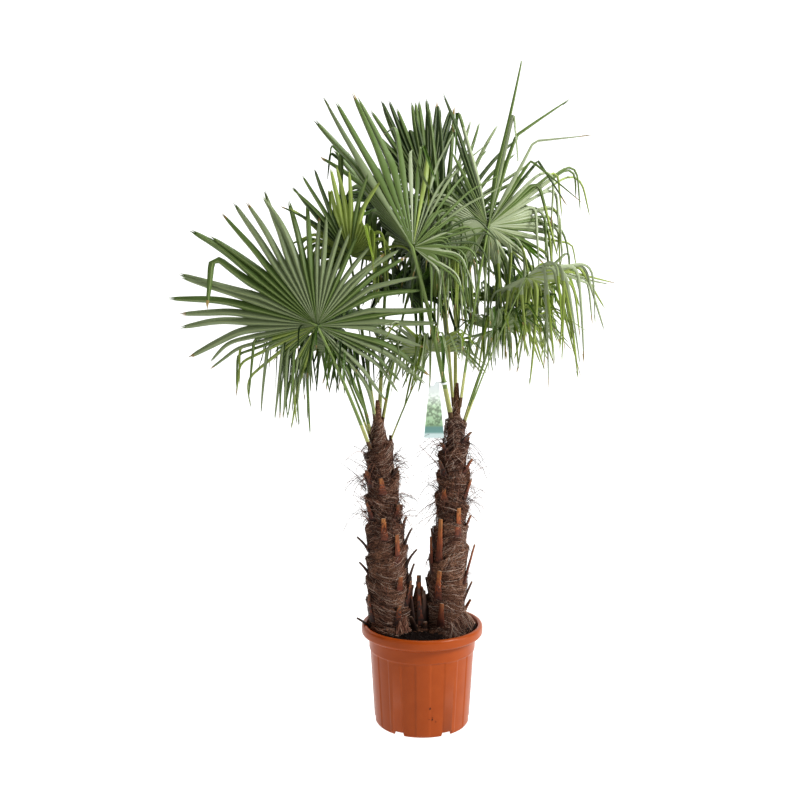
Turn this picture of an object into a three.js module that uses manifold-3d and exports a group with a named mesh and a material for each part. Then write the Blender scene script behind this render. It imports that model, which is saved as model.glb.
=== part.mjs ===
// A windmill palm in its nursery pot: two stems wrapped in brown fibre, each with a crown of fan leaves.
// Millimetres, +Z up. The origin is the middle of the pot's underside; the plant's best side faces -Y.
import * as THREE from "three";
import { mergeVertices } from "three/addons/utils/BufferGeometryUtils.js";
import Module from "manifold-3d";

// Driving sizes of the pot, a round injection-moulded tub
const POT_HEIGHT = 317; // floor to the top of the rim
const RIM_RADIUS = 190; // outside of the rolled rim
const RIM_BAND = 33; // height of the rolled rim
const COLLAR_RADIUS = 168; // plain band under the rim
const COLLAR_HEIGHT = 45;
const BODY_TOP_RADIUS = 163; // fluted body, widest under the collar
const BODY_FOOT_RADIUS = 149;
const FLUTES = 11; // sunk panels round the body, with as many raised ones between them
const FLUTE_DEPTH = 1.8;
const FLUTE_SHARE = 0.86; // of a panel's width between the ramps at its sides
const WALL = 4;
const GROOVE = { from: 112, to: 138, depth: 12 }; // ring-shaped hollow in the underside, by radius
const FOOT_NOTCHES = 6; // drain notches in the foot ring
const NOTCH = { width: 36, height: 13 };
const SOIL_LEVEL = 294; // flat top of the potting soil
const GAP = 0.3; // clearance kept between pieces that touch
const SOIL_CLEARANCE = 1.6; // between the soil's side and the pot's wall

// The stems: axis as [height, x] and thickness as [height, diameter], up to the tip of the leaf sheaths
const STEMS = {
  left: {
    axis: [[294, -99], [450, -105], [600, -114], [720, -122], [850, -132], [1019, -140]],
    girth: [[294, 146], [312, 138], [432, 135], [555, 122], [650, 106], [740, 100], [868, 80],
      [900, 55], [945, 33], [1019, 12]],
    sheathFoot: 862,
  },
  right: {
    axis: [[294, 74], [388, 75], [580, 87], [706, 92], [864, 98], [1019, 106], [1072, 106]],
    girth: [[294, 132], [312, 121], [432, 118], [525, 113], [630, 98], [738, 91], [801, 86], [856, 79],
      [900, 70], [931, 58], [962, 46], [1005, 27], [1072, 12]],
    sheathFoot: 905,
  },
};
const STEM_SIDES = 20;

// Cut leaf bases on the stems that show from the front: [foot height, azimuth, rise, stand-out]
const BASES = {
  left: [[731, 271, 55, 8], [591, 267, 71, 8], [510, 303, 100, 8], [422, 300, 62, 20], [604, 336, 56, 18],
    [560, 350, 60, 26], [498, 342, 58, 34], [658, 318, 46, 16], [547, 194, 46, 30], [474, 188, 38, 22],
    [649, 222, 60, 14], [753, 226, 54, 18], [786, 330, 30, 14], [326, 290, 66, 6], [330, 215, 88, 5]],
  right: [[888, 322, 36, 28], [858, 228, 34, 24], [796, 330, 44, 18], [790, 226, 48, 22],
    [714, 335, 62, 16], [705, 236, 46, 6], [600, 296, 92, 6], [620, 344, 42, 12], [445, 346, 124, 22],
    [519, 232, 138, 8], [478, 205, 118, 12], [405, 240, 92, 6], [318, 252, 78, 5], [352, 196, 84, 20]],
};
// Cut leaf bases on the far side follow the palm's spiral, one every golden angle
const BACK_BASES = { first: 336, spacing: 48, count: 11, golden: 137.5, azimuth: 15, sweep: 150, rise: 60,
  standOut: 14 };
// widths: the strip's width at foot, middle and tip as a share. middleRise and middleOut: where its middle is
const BASE_STRIP = { width: 22, thickness: 9, sunk: 12, widths: [1.15, 1, 0.8], middleRise: 0.45,
  middleOut: 0.25 };

// Leaf stalks are flat-backed and taper from the stem to the fan; the steeper, younger ones start higher.
// sunk: how deep the foot starts in the stem. sides: corners of a cross-section. tipShare: the blunt end.
const STALK = { footWidth: 20, footThickness: 11, tipWidth: 11, tipThickness: 8, taper: 0.6, arch: 0.06,
  steps: 8, sides: 6, stagger: 95, flat: 0.95, steep: 1.45, sunk: 3, tipRun: 0.02, tipShare: 0.35 };

// The fans. hub: where the stalk meets the blade. face: azimuth and tilt of the underside's normal.
// lean: clockwise turn of the middle rib, seen from below the blade. reach: longest rib.
// spread: first and last rib's angle. droop: how far the ribs hang, one share or [angle, share] pairs.
// bend: the share of a rib where it starts to hang. fold: the blade's halves turned up about the middle.
const LEAVES = [
  { name: "right_1", hub: [-32, -170, 1478], face: [235, -15], lean: -34, reach: 525, spread: [-110, 130],
    droop: [[-32, 0.95], [-24, 0.08], [16, 0.1], [30, 0.7], [130, 0.95]], bend: 0.45, fold: 42, cup: 5,
    shortening: 0.42, seed: 11 },
  { name: "left_1", hub: [-313, -130, 1252], face: [262, -14], lean: -62, reach: 495, spread: [-98, 170],
    droop: [[-98, 0.95], [-36, 0.6], [-18, 0.1], [100, 0.1], [170, 0.5]], bend: 0.5, shortening: 0.42,
    seed: 3 },
  { name: "right_4", hub: [192, -60, 1546], face: [290, -20], lean: 8, reach: 485, spread: [-65, 151],
    droop: [[-65, 0.05], [-30, 0.05], [-28, 0.9], [-6, 0.9], [-4, 0.03], [17, 0.05], [20, 0.5], [45, 0.8],
      [60, 0.95], [151, 0.95]], bend: 0.5, seed: 23 },
  { name: "right_3", hub: [51, -20, 1507], face: [275, -5], lean: 12, reach: 425, spread: [-24, 84],
    droop: [[-24, 0.06], [30, 0.1], [84, 0.7]], bend: 0.55, seed: 5 },
  { name: "right_2", hub: [23, 60, 1618], face: [270, -5], lean: -13, reach: 350, spread: [-30, 30],
    droop: 0.04, seed: 8 },
  { name: "left_3", hub: [-217, -90, 1455], face: [265, -42], lean: -15, reach: 290, spread: [-130, 130],
    droop: [[-130, 0.95], [-45, 0.7], [-30, 0.08], [30, 0.08], [45, 0.8], [130, 0.95]], bend: 0.35,
    seed: 6 },
  { name: "right_5", hub: [300, -120, 1395], face: [300, -62], lean: 82, reach: 455, spread: [-135, 140],
    droop: 0.95, bend: 0.28, seed: 9 },
  { name: "left_2", hub: [-270, 20, 1173], face: [250, -72], lean: -45, reach: 350, spread: [-140, 140],
    droop: 0.8, bend: 0.3, seed: 14 },
  { name: "left_5", hub: [22, 20, 1168], face: [270, -68], lean: -30, reach: 300, spread: [-140, 140],
    droop: 0.6, bend: 0.35, seed: 4 },
  { name: "right_6", hub: [231, 60, 1236], face: [290, -66], lean: 60, reach: 310, spread: [-140, 140],
    droop: 0.6, bend: 0.35, seed: 17 },
  { name: "left_4", hub: [-102, 140, 1632], face: [105, -35], lean: 25, reach: 340, spread: [-130, 120],
    droop: 0.95, bend: 0.22, seed: 19 },
  { name: "left_6", hub: [-44, 90, 1350], face: [70, -50], lean: -25, reach: 320, spread: [-130, 130],
    droop: 0.6, bend: 0.35, seed: 26 },
  { name: "right_7", hub: [109, 220, 1490], face: [88, -35], lean: 8, reach: 430, spread: [-125, 125],
    droop: 0.5, bend: 0.4, seed: 28 },
  { name: "right_8", hub: [275, 180, 1320], face: [45, -58], lean: -30, reach: 350, spread: [-130, 130],
    droop: 0.7, bend: 0.35, seed: 33 },
  { name: "left_7", hub: [-255, 230, 1232], face: [125, -60], lean: 35, reach: 380, spread: [-130, 130],
    droop: 0.6, bend: 0.35, seed: 37 },
];
const USUAL = { cup: 10, fold: 0, shortening: 0.3, bend: 0.35 }; // for fans that don't state their own
// How ribs vary. shortBy: the angle by which most of the shortening is done. length, hang and bend: lowest
// share and range of the dice. mostHang: the most a rib hangs. bendRun: share of a rib over which it bends
const RIB_RULE = { shortBy: 60, length: [0.93, 0.14], hang: [0.8, 0.4], mostHang: 0.97, bend: [-0.1, 0.2],
  bendRun: 0.42 };
const RIB_PITCH = 12; // degrees between the pleats of a fan
const SPLIT = 0.36; // the pleats are joined over this share of a rib
const RIB_STATIONS = [SPLIT, 0.56, 0.78, 1];
const RIB_WIDTHS = [1, 1, 0.72, 0];
const RIB_THICKNESS = [5.5, 5.2, 4.6, 0];
const PLEAT_DEPTH = 0.24; // of a pleat's width
const WEB_THICKNESS = 4.5;
const HUB_HALF = 5; // half the thickness of the blade where the pleats meet
const CURVE_STEPS = 24;
const REACHES = [1, 0.9, 0.8, 0.7, 0.6, 0.5, 0.4, 0.3, 0.22, 0.14]; // tried in turn where leaves crowd
const TOUCH = 0.002; // a common volume that counts as touching, in cubic millimetres
// A pleat is tried swollen, so that neighbours stay clear. whole and tip: the shares of a rib where the
// piece tried against other leaves, and against the same fan's hanging ribs, begins. step: the least
// share between two rings. web: the share past the split that is as thick as the web.
const TRIAL = { swell: 1, whole: 0.04, tip: 0.5, tipReach: 0.6, depth: 6, step: 0.02, web: 0.1 };

// The plain plastic label on a strap round one stalk. at: the strap's place on the stalk. aside: from the
// strap to the card's middle. neck: the raised tab, whose slanting side runs from tabTop to tabFoot.
// hang: the share of the neck by which the card's top is under the strap.
const LABEL = { leaf: "right_1", at: 0.21, topWidth: 31, footWidth: 61, height: 160, thickness: 1.2,
  strapHeight: 9, strapWall: 1.4, aside: 30, neck: 12, tabTop: 4, tabFoot: -2, hang: 0.7, linkHeight: 5,
  linkThickness: 3, linkShort: 8 };

const COLOURS = {
  pot: { color: 0xb4592a, roughness: 0.45 },
  soil: { color: 0x241812, roughness: 0.95 },
  stem: { color: 0x4a3020, roughness: 0.95 },
  stalk: { color: 0x8aa355, roughness: 0.5 },
  fan: { color: 0x5c7a48, roughness: 0.55 },
  label: { color: 0xdfe9e4, roughness: 0.35 },
};

const wasm = await Module();
wasm.setup();
const UP = new THREE.Vector3(0, 0, 1);
const vec = (x, y, z) => new THREE.Vector3(x, y, z);
const radians = THREE.MathUtils.degToRad;

// A number from 0 to 1 that depends only on its two arguments
function dice(i, seed) {
  const s = Math.sin(i * 12.9898 + seed * 78.233) * 43758.5453;
  return s - Math.floor(s);
}

// Value at x of a line through [x, value] pairs
function along(pairs, x) {
  const k = Math.max(1, pairs.findIndex((p) => p[0] >= x));
  const [[x0, v0], [x1, v1]] = x > pairs.at(-1)[0] ? pairs.slice(-2) : [pairs[k - 1], pairs[k]];
  return v0 + ((v1 - v0) * (x - x0)) / (x1 - x0);
}

// Geometry from a list of points and a list of triangles
function shell(points, faces) {
  const g = new THREE.BufferGeometry();
  g.setAttribute("position", new THREE.Float32BufferAttribute(points.flatMap((p) => [p.x, p.y, p.z]), 3));
  return g.setIndex(faces.flat());
}

// A closed geometry as a solid for cuts and joins, and back
function solidOf(geometry) {
  const g = geometry.clone();
  g.deleteAttribute("normal");
  g.deleteAttribute("uv");
  const m = mergeVertices(g, 1e-3);
  return new wasm.Manifold(
    new wasm.Mesh({
      numProp: 3,
      vertProperties: Float32Array.from(m.attributes.position.array),
      triVerts: Uint32Array.from(m.index.array),
    }),
  );
}
function geometryOf(solid) {
  const m = solid.getMesh();
  const g = new THREE.BufferGeometry();
  g.setAttribute("position", new THREE.BufferAttribute(Float32Array.from(m.vertProperties), 3));
  return g.setIndex(new THREE.BufferAttribute(Uint32Array.from(m.triVerts), 1));
}

// Whether two solids share more than the smallest volume that counts; the common part is freed at once
function touches(a, b) {
  const [p, q] = [a.boundingBox(), b.boundingBox()];
  if ([0, 1, 2].some((k) => p.max[k] < q.min[k] || q.max[k] < p.min[k])) return false;
  const common = a.intersect(b);
  const volume = common.volume();
  common.delete();
  return volume > TOUCH;
}

const largestOf = (solid) => solid.decompose().sort((a, b) => b.volume() - a.volume())[0];

// What is left of a solid clear of another by about the gap, where they touch
function trimmed(solid, other) {
  if (!touches(solid, other)) return solid;
  const sides = [[GAP, 0, 0], [-GAP, 0, 0], [0, GAP, 0], [0, -GAP, 0], [0, 0, GAP], [0, 0, -GAP]];
  const shifts = [[0, 0, 0], ...sides];
  return largestOf(shifts.reduce((rest, shift) => rest.subtract(other.translate(shift)), solid));
}

// Rings of points joined into a closed tube with flat ends; each ring turns anticlockwise about its way
function tube(rings) {
  const n = rings[0].length;
  const points = rings.flat();
  const faces = [];
  for (let k = 0; k + 1 < rings.length; k++)
    for (let j = 0; j < n; j++) {
      const [a, b] = [k * n + j, k * n + ((j + 1) % n)];
      faces.push([a, b, b + n], [a, b + n, a + n]);
    }
  for (const [ring, flip] of [[rings[0], true], [rings.at(-1), false]]) {
    const middle = points.length;
    const start = flip ? 0 : (rings.length - 1) * n;
    points.push(ring.reduce((s, p) => s.add(p), vec(0, 0, 0)).divideScalar(n));
    for (let j = 0; j < n; j++) {
      const [a, b] = [start + j, start + ((j + 1) % n)];
      faces.push(flip ? [middle, b, a] : [middle, a, b]);
    }
  }
  return shell(points, faces);
}

// An ellipse of points round a centre, across a way and a side
function ring(centre, way, side, across, thick, count) {
  const third = way.clone().cross(side);
  return Array.from({ length: count }, (_, j) => {
    const a = (2 * Math.PI * j) / count;
    const point = centre.clone().addScaledVector(side, across * Math.cos(a));
    return point.addScaledVector(third, thick * Math.sin(a));
  });
}

// The pot: one wall turned about the axis, panels sunk into its body, drain notches cut in its foot ring
function potGeometry() {
  const bandFoot = POT_HEIGHT - RIM_BAND;
  const collarFoot = bandFoot - COLLAR_HEIGHT;
  const outline = [
    [0, 0], [GROOVE.from, 0], [GROOVE.from + 4, GROOVE.depth], [GROOVE.to - 2, GROOVE.depth],
    [GROOVE.to, 0], [BODY_FOOT_RADIUS - 3, 0], [BODY_FOOT_RADIUS, 7],
    [BODY_TOP_RADIUS, collarFoot - 5], [COLLAR_RADIUS - 2, collarFoot], [COLLAR_RADIUS, bandFoot - 3],
    [RIM_RADIUS - 5, bandFoot], [RIM_RADIUS, bandFoot + 6], [RIM_RADIUS, POT_HEIGHT - 7],
    [RIM_RADIUS - 4, POT_HEIGHT], [RIM_RADIUS - 13, POT_HEIGHT], [RIM_RADIUS - 16, POT_HEIGHT - 5],
    [RIM_RADIUS - 16, bandFoot + 5], [COLLAR_RADIUS - WALL, bandFoot - 2],
    [COLLAR_RADIUS - WALL - 3, collarFoot], [BODY_TOP_RADIUS - WALL - 2, collarFoot - 6],
    [BODY_FOOT_RADIUS - WALL - 2, 22], [GROOVE.to, GROOVE.depth + WALL],
    [GROOVE.from + 2, GROOVE.depth + WALL], [GROOVE.from - 2, WALL], [0, WALL],
  ];
  const columns = 4 * FLUTES;
  const turned = new THREE.LatheGeometry(outline.map(([r, z]) => new THREE.Vector2(r, z)), columns);
  turned.rotateX(Math.PI / 2);
  const p = turned.attributes.position;
  const half = Math.PI / FLUTES / 2; // half a panel
  for (let i = 0; i < p.count; i++) {
    const r = Math.hypot(p.getX(i), p.getY(i));
    if (r < 1) continue;
    const turn = Math.atan2(p.getY(i), p.getX(i)) / (2 * Math.PI);
    const column = Math.round((turn + 1) * columns) % columns;
    const panel = Math.floor(column / 2);
    const a = (2 * panel + 1 + (column % 2 ? FLUTE_SHARE : -FLUTE_SHARE)) * half;
    const z = p.getZ(i);
    const outside = along([[7, BODY_FOOT_RADIUS], [collarFoot - 5, BODY_TOP_RADIUS]], z);
    const onBody = z > 6 && z < collarFoot - 4 && r > outside - 2;
    const radius = onBody && panel % 2 ? r - FLUTE_DEPTH : r;
    p.setXYZ(i, radius * Math.cos(a), radius * Math.sin(a), z);
  }
  let pot = solidOf(turned);
  for (let k = 0; k < FOOT_NOTCHES; k++) {
    const notch = new THREE.BoxGeometry(30, NOTCH.width, 2 * NOTCH.height);
    notch.translate(BODY_FOOT_RADIUS - 2, 0, 0).rotateZ((2 * Math.PI * k) / FOOT_NOTCHES);
    pot = pot.subtract(solidOf(notch));
  }
  return geometryOf(pot);
}

// Potting soil, filling the pot to its flat top
function soilGeometry() {
  const r = (radius) => radius - SOIL_CLEARANCE;
  const step = GROOVE.depth + WALL + GAP;
  const outline = [
    [0, WALL + GAP], [r(GROOVE.from - 3), WALL + GAP], [r(GROOVE.from + 1), step], [r(GROOVE.to), step],
    [r(BODY_FOOT_RADIUS - WALL - 2.5), 23], [r(BODY_TOP_RADIUS - WALL - 2.5), 233],
    [r(COLLAR_RADIUS - WALL - 3), 240], [r(COLLAR_RADIUS - WALL - 0.5), 282], [r(RIM_RADIUS - 17), 290],
    [r(RIM_RADIUS - 17), SOIL_LEVEL], [0, SOIL_LEVEL],
  ];
  return new THREE.LatheGeometry(outline.map(([x, z]) => new THREE.Vector2(x, z)), 4 * FLUTES)
    .rotateX(Math.PI / 2);
}

const stemAxis = (stem, z) => vec(along(stem.axis, z), 0, z);
const stemRadius = (stem, z) => along(stem.girth, z) / 2;

// A stem without its leaf bases, made thicker by grow where it is used to trim a stalk
function stemTube(stem, grow) {
  const foot = stem.girth[0][0] + (grow ? 0 : GAP);
  const heights = stem.girth.map(([z]) => Math.max(z, foot));
  return tube(heights.map((z) => {
    const radius = stemRadius(stem, z) + grow;
    return ring(stemAxis(stem, z), UP, vec(1, 0, 0), radius, radius, STEM_SIDES);
  }));
}

// A cut leaf base: a flat strip that rises from inside the stem and stands out at its sawn tip
function leafBase(stem, [z, azimuth, rise, standOut]) {
  const out = vec(Math.cos(radians(azimuth)), Math.sin(radians(azimuth)), 0);
  const place = (height, away) => {
    const from = stemAxis(stem, height);
    return from.addScaledVector(out, stemRadius(stem, height) + away);
  };
  const foot = place(z, -BASE_STRIP.sunk);
  const middle = place(z + BASE_STRIP.middleRise * rise, BASE_STRIP.middleOut * standOut);
  const tip = place(z + rise, standOut);
  const side = UP.clone().cross(out);
  return tube([foot, middle, tip].map((p, i, all) => {
    const last = all[i - 1] ?? p;
    const next = all[i + 1] ?? p;
    const third = next.clone().sub(last).normalize().cross(side);
    const [w, t] = [BASE_STRIP.width, BASE_STRIP.thickness].map((size) => (BASE_STRIP.widths[i] * size) / 2);
    return [[w, t], [-w, t], [-w, -t], [w, -t]].map(([across, thick]) =>
      p.clone().addScaledVector(side, across).addScaledVector(third, thick));
  }));
}

function stemGeometry(name) {
  const stem = STEMS[name];
  let solid = solidOf(stemTube(stem, 0));
  const back = Array.from({ length: BACK_BASES.count }, (_, i) => [
    BACK_BASES.first + BACK_BASES.spacing * i + 20 * dice(i, stem.sheathFoot),
    BACK_BASES.azimuth + ((i * BACK_BASES.golden) % BACK_BASES.sweep),
    BACK_BASES.rise * (0.7 + 0.7 * dice(i, 5)),
    BACK_BASES.standOut * (0.6 + dice(i, 9)),
  ]);
  for (const base of [...BASES[name], ...back]) solid = solid.add(solidOf(leafBase(stem, base)));
  return geometryOf(solid);
}

// The stalk's line, from the stem's wall to the hub
function stalkCurve(leaf) {
  const stem = STEMS[leaf.name.split("_")[0]];
  const hub = vec(...leaf.hub);
  const low = stemAxis(stem, stem.sheathFoot);
  const away = hub.clone().sub(low);
  const steepness = Math.atan2(away.z, Math.hypot(away.x, away.y));
  const steep = THREE.MathUtils.smoothstep(steepness, STALK.flat, STALK.steep);
  const z = stem.sheathFoot + STALK.stagger * steep;
  const foot = stemAxis(stem, z);
  const out = vec(away.x, away.y, 0).normalize();
  foot.addScaledVector(out, Math.max(0, stemRadius(stem, z) - STALK.sunk));
  const length = hub.distanceTo(foot);
  const bow = foot.clone().add(hub).divideScalar(2).addScaledVector(UP, STALK.arch * length);
  return new THREE.QuadraticBezierCurve3(foot, bow, hub);
}

// One ring of the stalk at a share of its length, and a band round it when grow is given
function stalkRing(curve, share, grow = 0) {
  const way = curve.getTangent(share);
  const flat = vec(curve.v2.x - curve.v0.x, curve.v2.y - curve.v0.y, 0).normalize();
  const side = UP.clone().cross(flat);
  side.addScaledVector(way, -side.dot(way)).normalize();
  const width = THREE.MathUtils.lerp(STALK.footWidth, STALK.tipWidth, share ** STALK.taper);
  const thick = THREE.MathUtils.lerp(STALK.footThickness, STALK.tipThickness, share ** STALK.taper);
  return ring(curve.getPoint(share), way, side, width / 2 + grow, thick / 2 + grow, STALK.sides);
}

// Where the stalk ends: clear of the blade's edge at the hub
function stalkEnd(leaf, curve) {
  const { under } = fanAxes(leaf);
  const way = curve.getTangent(1);
  return (HUB_HALF * Math.abs(under.dot(way)) + GAP) / curve.getLength();
}

function stalkGeometry(leaf) {
  const stem = STEMS[leaf.name.split("_")[0]];
  const curve = stalkCurve(leaf);
  const end = 1 - stalkEnd(leaf, curve);
  const shares = Array.from({ length: STALK.steps }, (_, k) => (k / STALK.steps) * end);
  const rings = [...shares, end - STALK.tipRun].map((s) => stalkRing(curve, s));
  const tip = stalkRing(curve, end);
  const middle = curve.getPoint(end);
  rings.push(tip.map((p) => p.sub(middle).multiplyScalar(STALK.tipShare).add(middle)));
  return geometryOf(solidOf(tube(rings)).subtract(solidOf(stemTube(stem, GAP))));
}

// The fan's own directions: under its blade, along its middle rib and across it
function fanAxes(leaf) {
  const [azimuth, tilt] = leaf.face.map(radians);
  const under = vec(Math.cos(azimuth), Math.sin(azimuth), 0).multiplyScalar(Math.cos(tilt));
  under.z = Math.sin(tilt);
  const rise = UP.clone().addScaledVector(under, -under.z).normalize();
  const right = rise.clone().cross(under);
  const lean = radians(leaf.lean);
  const middle = rise.clone().multiplyScalar(Math.cos(lean)).addScaledVector(right, Math.sin(lean));
  const across = right.clone().multiplyScalar(Math.cos(lean)).addScaledVector(rise, -Math.sin(lean));
  return { under, middle, across };
}

// One rib: points and frames at even steps. It leaves the hub in the cupped fan, then bends to hang down.
function rib(leaf, index, pitch) {
  const { under, middle, across } = fanAxes(leaf);
  const { cup, fold, shortening, bend } = { ...USUAL, ...leaf };
  const varied = ([lowest, range], seed) => lowest + range * dice(bin, leaf.seed + seed);
  const [first] = leaf.spread;
  const angle = first + (index + 0.5) * pitch;
  const bin = Math.floor((angle - first) / RIB_PITCH);
  const a = radians(angle);
  const outward = across.clone().multiplyScalar(Math.sign(a) * Math.cos(radians(fold)))
    .addScaledVector(under, -Math.sin(radians(fold)));
  const start = middle.clone().multiplyScalar(Math.cos(a)).addScaledVector(outward, Math.abs(Math.sin(a)))
    .multiplyScalar(Math.cos(radians(cup))).addScaledVector(under, -Math.sin(radians(cup)));
  const shorter = shortening * (1 - Math.exp(-((angle / RIB_RULE.shortBy) ** 2)));
  const length = leaf.reach * (1 - shorter) * varied(RIB_RULE.length, 0);
  const hanging = Array.isArray(leaf.droop) ? along(leaf.droop, angle) : leaf.droop;
  const hang = Math.min(RIB_RULE.mostHang, hanging * varied(RIB_RULE.hang, 7));
  const bendAt = bend + varied(RIB_RULE.bend, 3);
  const way = start.clone().normalize();
  const side = way.clone().cross(under).normalize();
  const at = vec(...leaf.hub);
  const samples = [];
  for (let k = 0; k <= CURVE_STEPS; k++) {
    samples.push({ at: at.clone(), side: side.clone(), under: side.clone().cross(way) });
    at.addScaledVector(way, length / CURVE_STEPS);
    const share = (k + 1) / CURVE_STEPS;
    const turned = hang * THREE.MathUtils.smoothstep(share, bendAt, bendAt + RIB_RULE.bendRun);
    way.copy(start).multiplyScalar(1 - turned).addScaledVector(UP, -turned).normalize();
    side.addScaledVector(way, -side.dot(way)).normalize();
  }
  return { samples, length, width: 2 * SPLIT * length * Math.tan(radians(pitch / 2)) };
}

// A place on a rib, at a share of its whole length
function onRib({ samples }, share) {
  const x = Math.min(share, 0.9999) * CURVE_STEPS;
  const k = Math.floor(x);
  const mix = (name) => samples[k][name].clone().lerp(samples[k + 1][name], x - k);
  return { at: mix("at"), side: mix("side").normalize(), under: mix("under").normalize() };
}

const offset = (place, sideways, below) =>
  place.at.clone().addScaledVector(place.side, sideways).addScaledVector(place.under, below);

// A pleat by itself from a share of its rib to its end, swollen, for trying whether it touches anything
function trialPleat(oneRib, from, reach) {
  const later = RIB_STATIONS.map((s) => s * reach).filter((s) => s > from + TRIAL.step);
  const shares = [from, ...later];
  const rings = shares.map((s) => {
    const place = onRib(oneRib, s);
    const t = s / reach;
    const widest = t < SPLIT ? t / SPLIT : along(RIB_STATIONS.map((x, i) => [x, RIB_WIDTHS[i]]), t);
    const half = (widest * reach * oneRib.width) / 2 + TRIAL.swell;
    const depth = 2 * half * PLEAT_DEPTH;
    const web = (t < SPLIT + TRIAL.web ? WEB_THICKNESS : 1) + TRIAL.swell;
    return [offset(place, -half, -TRIAL.swell), offset(place, -half, web),
      offset(place, 0, depth + TRIAL.depth + TRIAL.swell), offset(place, half, web),
      offset(place, half, -TRIAL.swell), offset(place, 0, depth - TRIAL.swell)];
  });
  return solidOf(tube(rings.map((r) => r.reverse())));
}

// The fan: pleats side by side, joined near the hub and free beyond it, each with its own reach
function fanGeometry(leaf, ribs, reaches) {
  const { under } = fanAxes(leaf);
  const hub = vec(...leaf.hub);
  const points = [-HUB_HALF, HUB_HALF].map((below) => hub.clone().addScaledVector(under, below));
  const faces = [];
  const add = (p) => points.push(p) - 1;
  const count = ribs.length;
  const length = (i) => ribs[i].length * reaches[i];
  const ridges = [];
  for (let k = 0; k <= count; k++) {
    const sides = [k - 1, k].filter((i) => i >= 0 && i < count);
    const distance = SPLIT * Math.min(...sides.map(length));
    const edges = sides.map((i) => {
      const place = onRib(ribs[i], distance / ribs[i].length);
      const half = ((distance / ribs[i].length / SPLIT) * ribs[i].width) / 2;
      return { p: offset(place, i === k ? -half : half, 0), under: place.under };
    });
    const top = edges.reduce((s, e) => s.add(e.p), vec(0, 0, 0)).divideScalar(edges.length);
    if (edges.length === 1) {
      const edge = add(top);
      ridges.push([edge, edge]);
    } else {
      const down = edges[0].under.clone().add(edges[1].under).normalize();
      ridges.push([add(top), add(top.clone().addScaledVector(down, WEB_THICKNESS))]);
    }
  }
  for (let i = 0; i < count; i++) {
    const [[leftTop, leftLow], [rightTop, rightLow]] = [ridges[i], ridges[i + 1]];
    let [left, right, leftUnder, rightUnder] = [leftTop, rightTop, leftLow, rightLow];
    let [top, low] = [];
    RIB_STATIONS.forEach((station, j) => {
      const place = onRib(ribs[i], station * reaches[i]);
      const half = (RIB_WIDTHS[j] * reaches[i] * ribs[i].width) / 2;
      const depth = 2 * half * PLEAT_DEPTH;
      if (j === RIB_STATIONS.length - 1) {
        const tip = add(place.at);
        faces.push([left, tip, top], [top, tip, right], [left, low, tip], [low, right, tip]);
        return;
      }
      const newTop = add(offset(place, 0, depth));
      const newLow = add(offset(place, 0, depth + RIB_THICKNESS[j]));
      if (j === 0) {
        faces.push([0, left, newTop], [0, newTop, right], [1, newLow, leftUnder], [1, rightUnder, newLow]);
      } else {
        const [newLeft, newRight] = [add(offset(place, -half, 0)), add(offset(place, half, 0))];
        faces.push([left, newLeft, newTop], [left, newTop, top]);
        faces.push([top, newTop, newRight], [top, newRight, right]);
        faces.push([leftUnder, low, newLow], [leftUnder, newLow, newLeft]);
        faces.push([low, rightUnder, newRight], [low, newRight, newLow]);
        if (left !== leftUnder) faces.push([left, leftUnder, newLeft]);
        if (right !== rightUnder) faces.push([right, newRight, rightUnder]);
        [left, right, leftUnder, rightUnder] = [newLeft, newRight, newLeft, newRight];
      }
      [top, low] = [newTop, newLow];
    });
  }
  faces.push([0, 1, ridges[0][0]], [0, ridges[count][0], 1]);
  return shell(points, faces);
}

// Every fan in turn, its pleats shortened where they would cross a stalk, a stem or an earlier fan
function fanGeometries(obstacles) {
  const made = new Map();
  const cores = LEAVES.map((leaf) => {
    const ribs = ribsOf(leaf);
    return { leaf, solid: solidOf(fanGeometry(leaf, ribs, ribs.map(() => REACHES.at(-1)))) };
  });
  for (const leaf of LEAVES) {
    const ribs = ribsOf(leaf);
    const others = [...obstacles, ...cores].filter((o) => o.leaf !== leaf).map((o) => o.solid);
    const free = [];
    const reaches = ribs.map((r) => {
      const fits = (reach) => {
        const whole = trialPleat(r, TRIAL.whole, reach);
        const tip = trialPleat(r, Math.min(TRIAL.tip, reach * TRIAL.tipReach), reach);
        const clear = !others.some((o) => touches(whole, o)) && !free.some((o) => touches(tip, o));
        whole.delete();
        tip.delete();
        return clear;
      };
      const reach = REACHES.find(fits) ?? REACHES.at(-1);
      if (reach > TRIAL.tipReach) free.push(trialPleat(r, TRIAL.tip, reach));
      return reach;
    });
    clearPleats(leaf, ribs, reaches, others);
    const geometry = fanGeometry(leaf, ribs, reaches);
    made.set(leaf.name, geometry);
    obstacles.push({ leaf: null, solid: solidOf(geometry) });
  }
  return made;
}

// Shortens the pleat nearest to each place where the whole fan still touches something
function clearPleats(leaf, ribs, reaches, others) {
  const shortest = REACHES.at(-1);
  while (reaches.some((reach) => reach > shortest)) {
    const fan = solidOf(fanGeometry(leaf, ribs, reaches));
    const hit = others.find((o) => touches(fan, o));
    if (!hit) return;
    const common = fan.intersect(hit);
    const pieces = common.decompose();
    const box = pieces.sort((a, b) => b.volume() - a.volume())[0].boundingBox();
    for (const used of [fan, common, ...pieces]) used.delete();
    const middle = vec(...box.min).add(vec(...box.max)).divideScalar(2);
    const distances = ribs.map((r, i) => {
      if (reaches[i] <= shortest) return Infinity;
      const used = r.samples.slice(0, Math.ceil(reaches[i] * CURVE_STEPS) + 1);
      return Math.min(...used.map((sample) => sample.at.distanceTo(middle)));
    });
    const nearest = distances.indexOf(Math.min(...distances));
    reaches[nearest] = REACHES[REACHES.indexOf(reaches[nearest]) + 1];
  }
}

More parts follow.
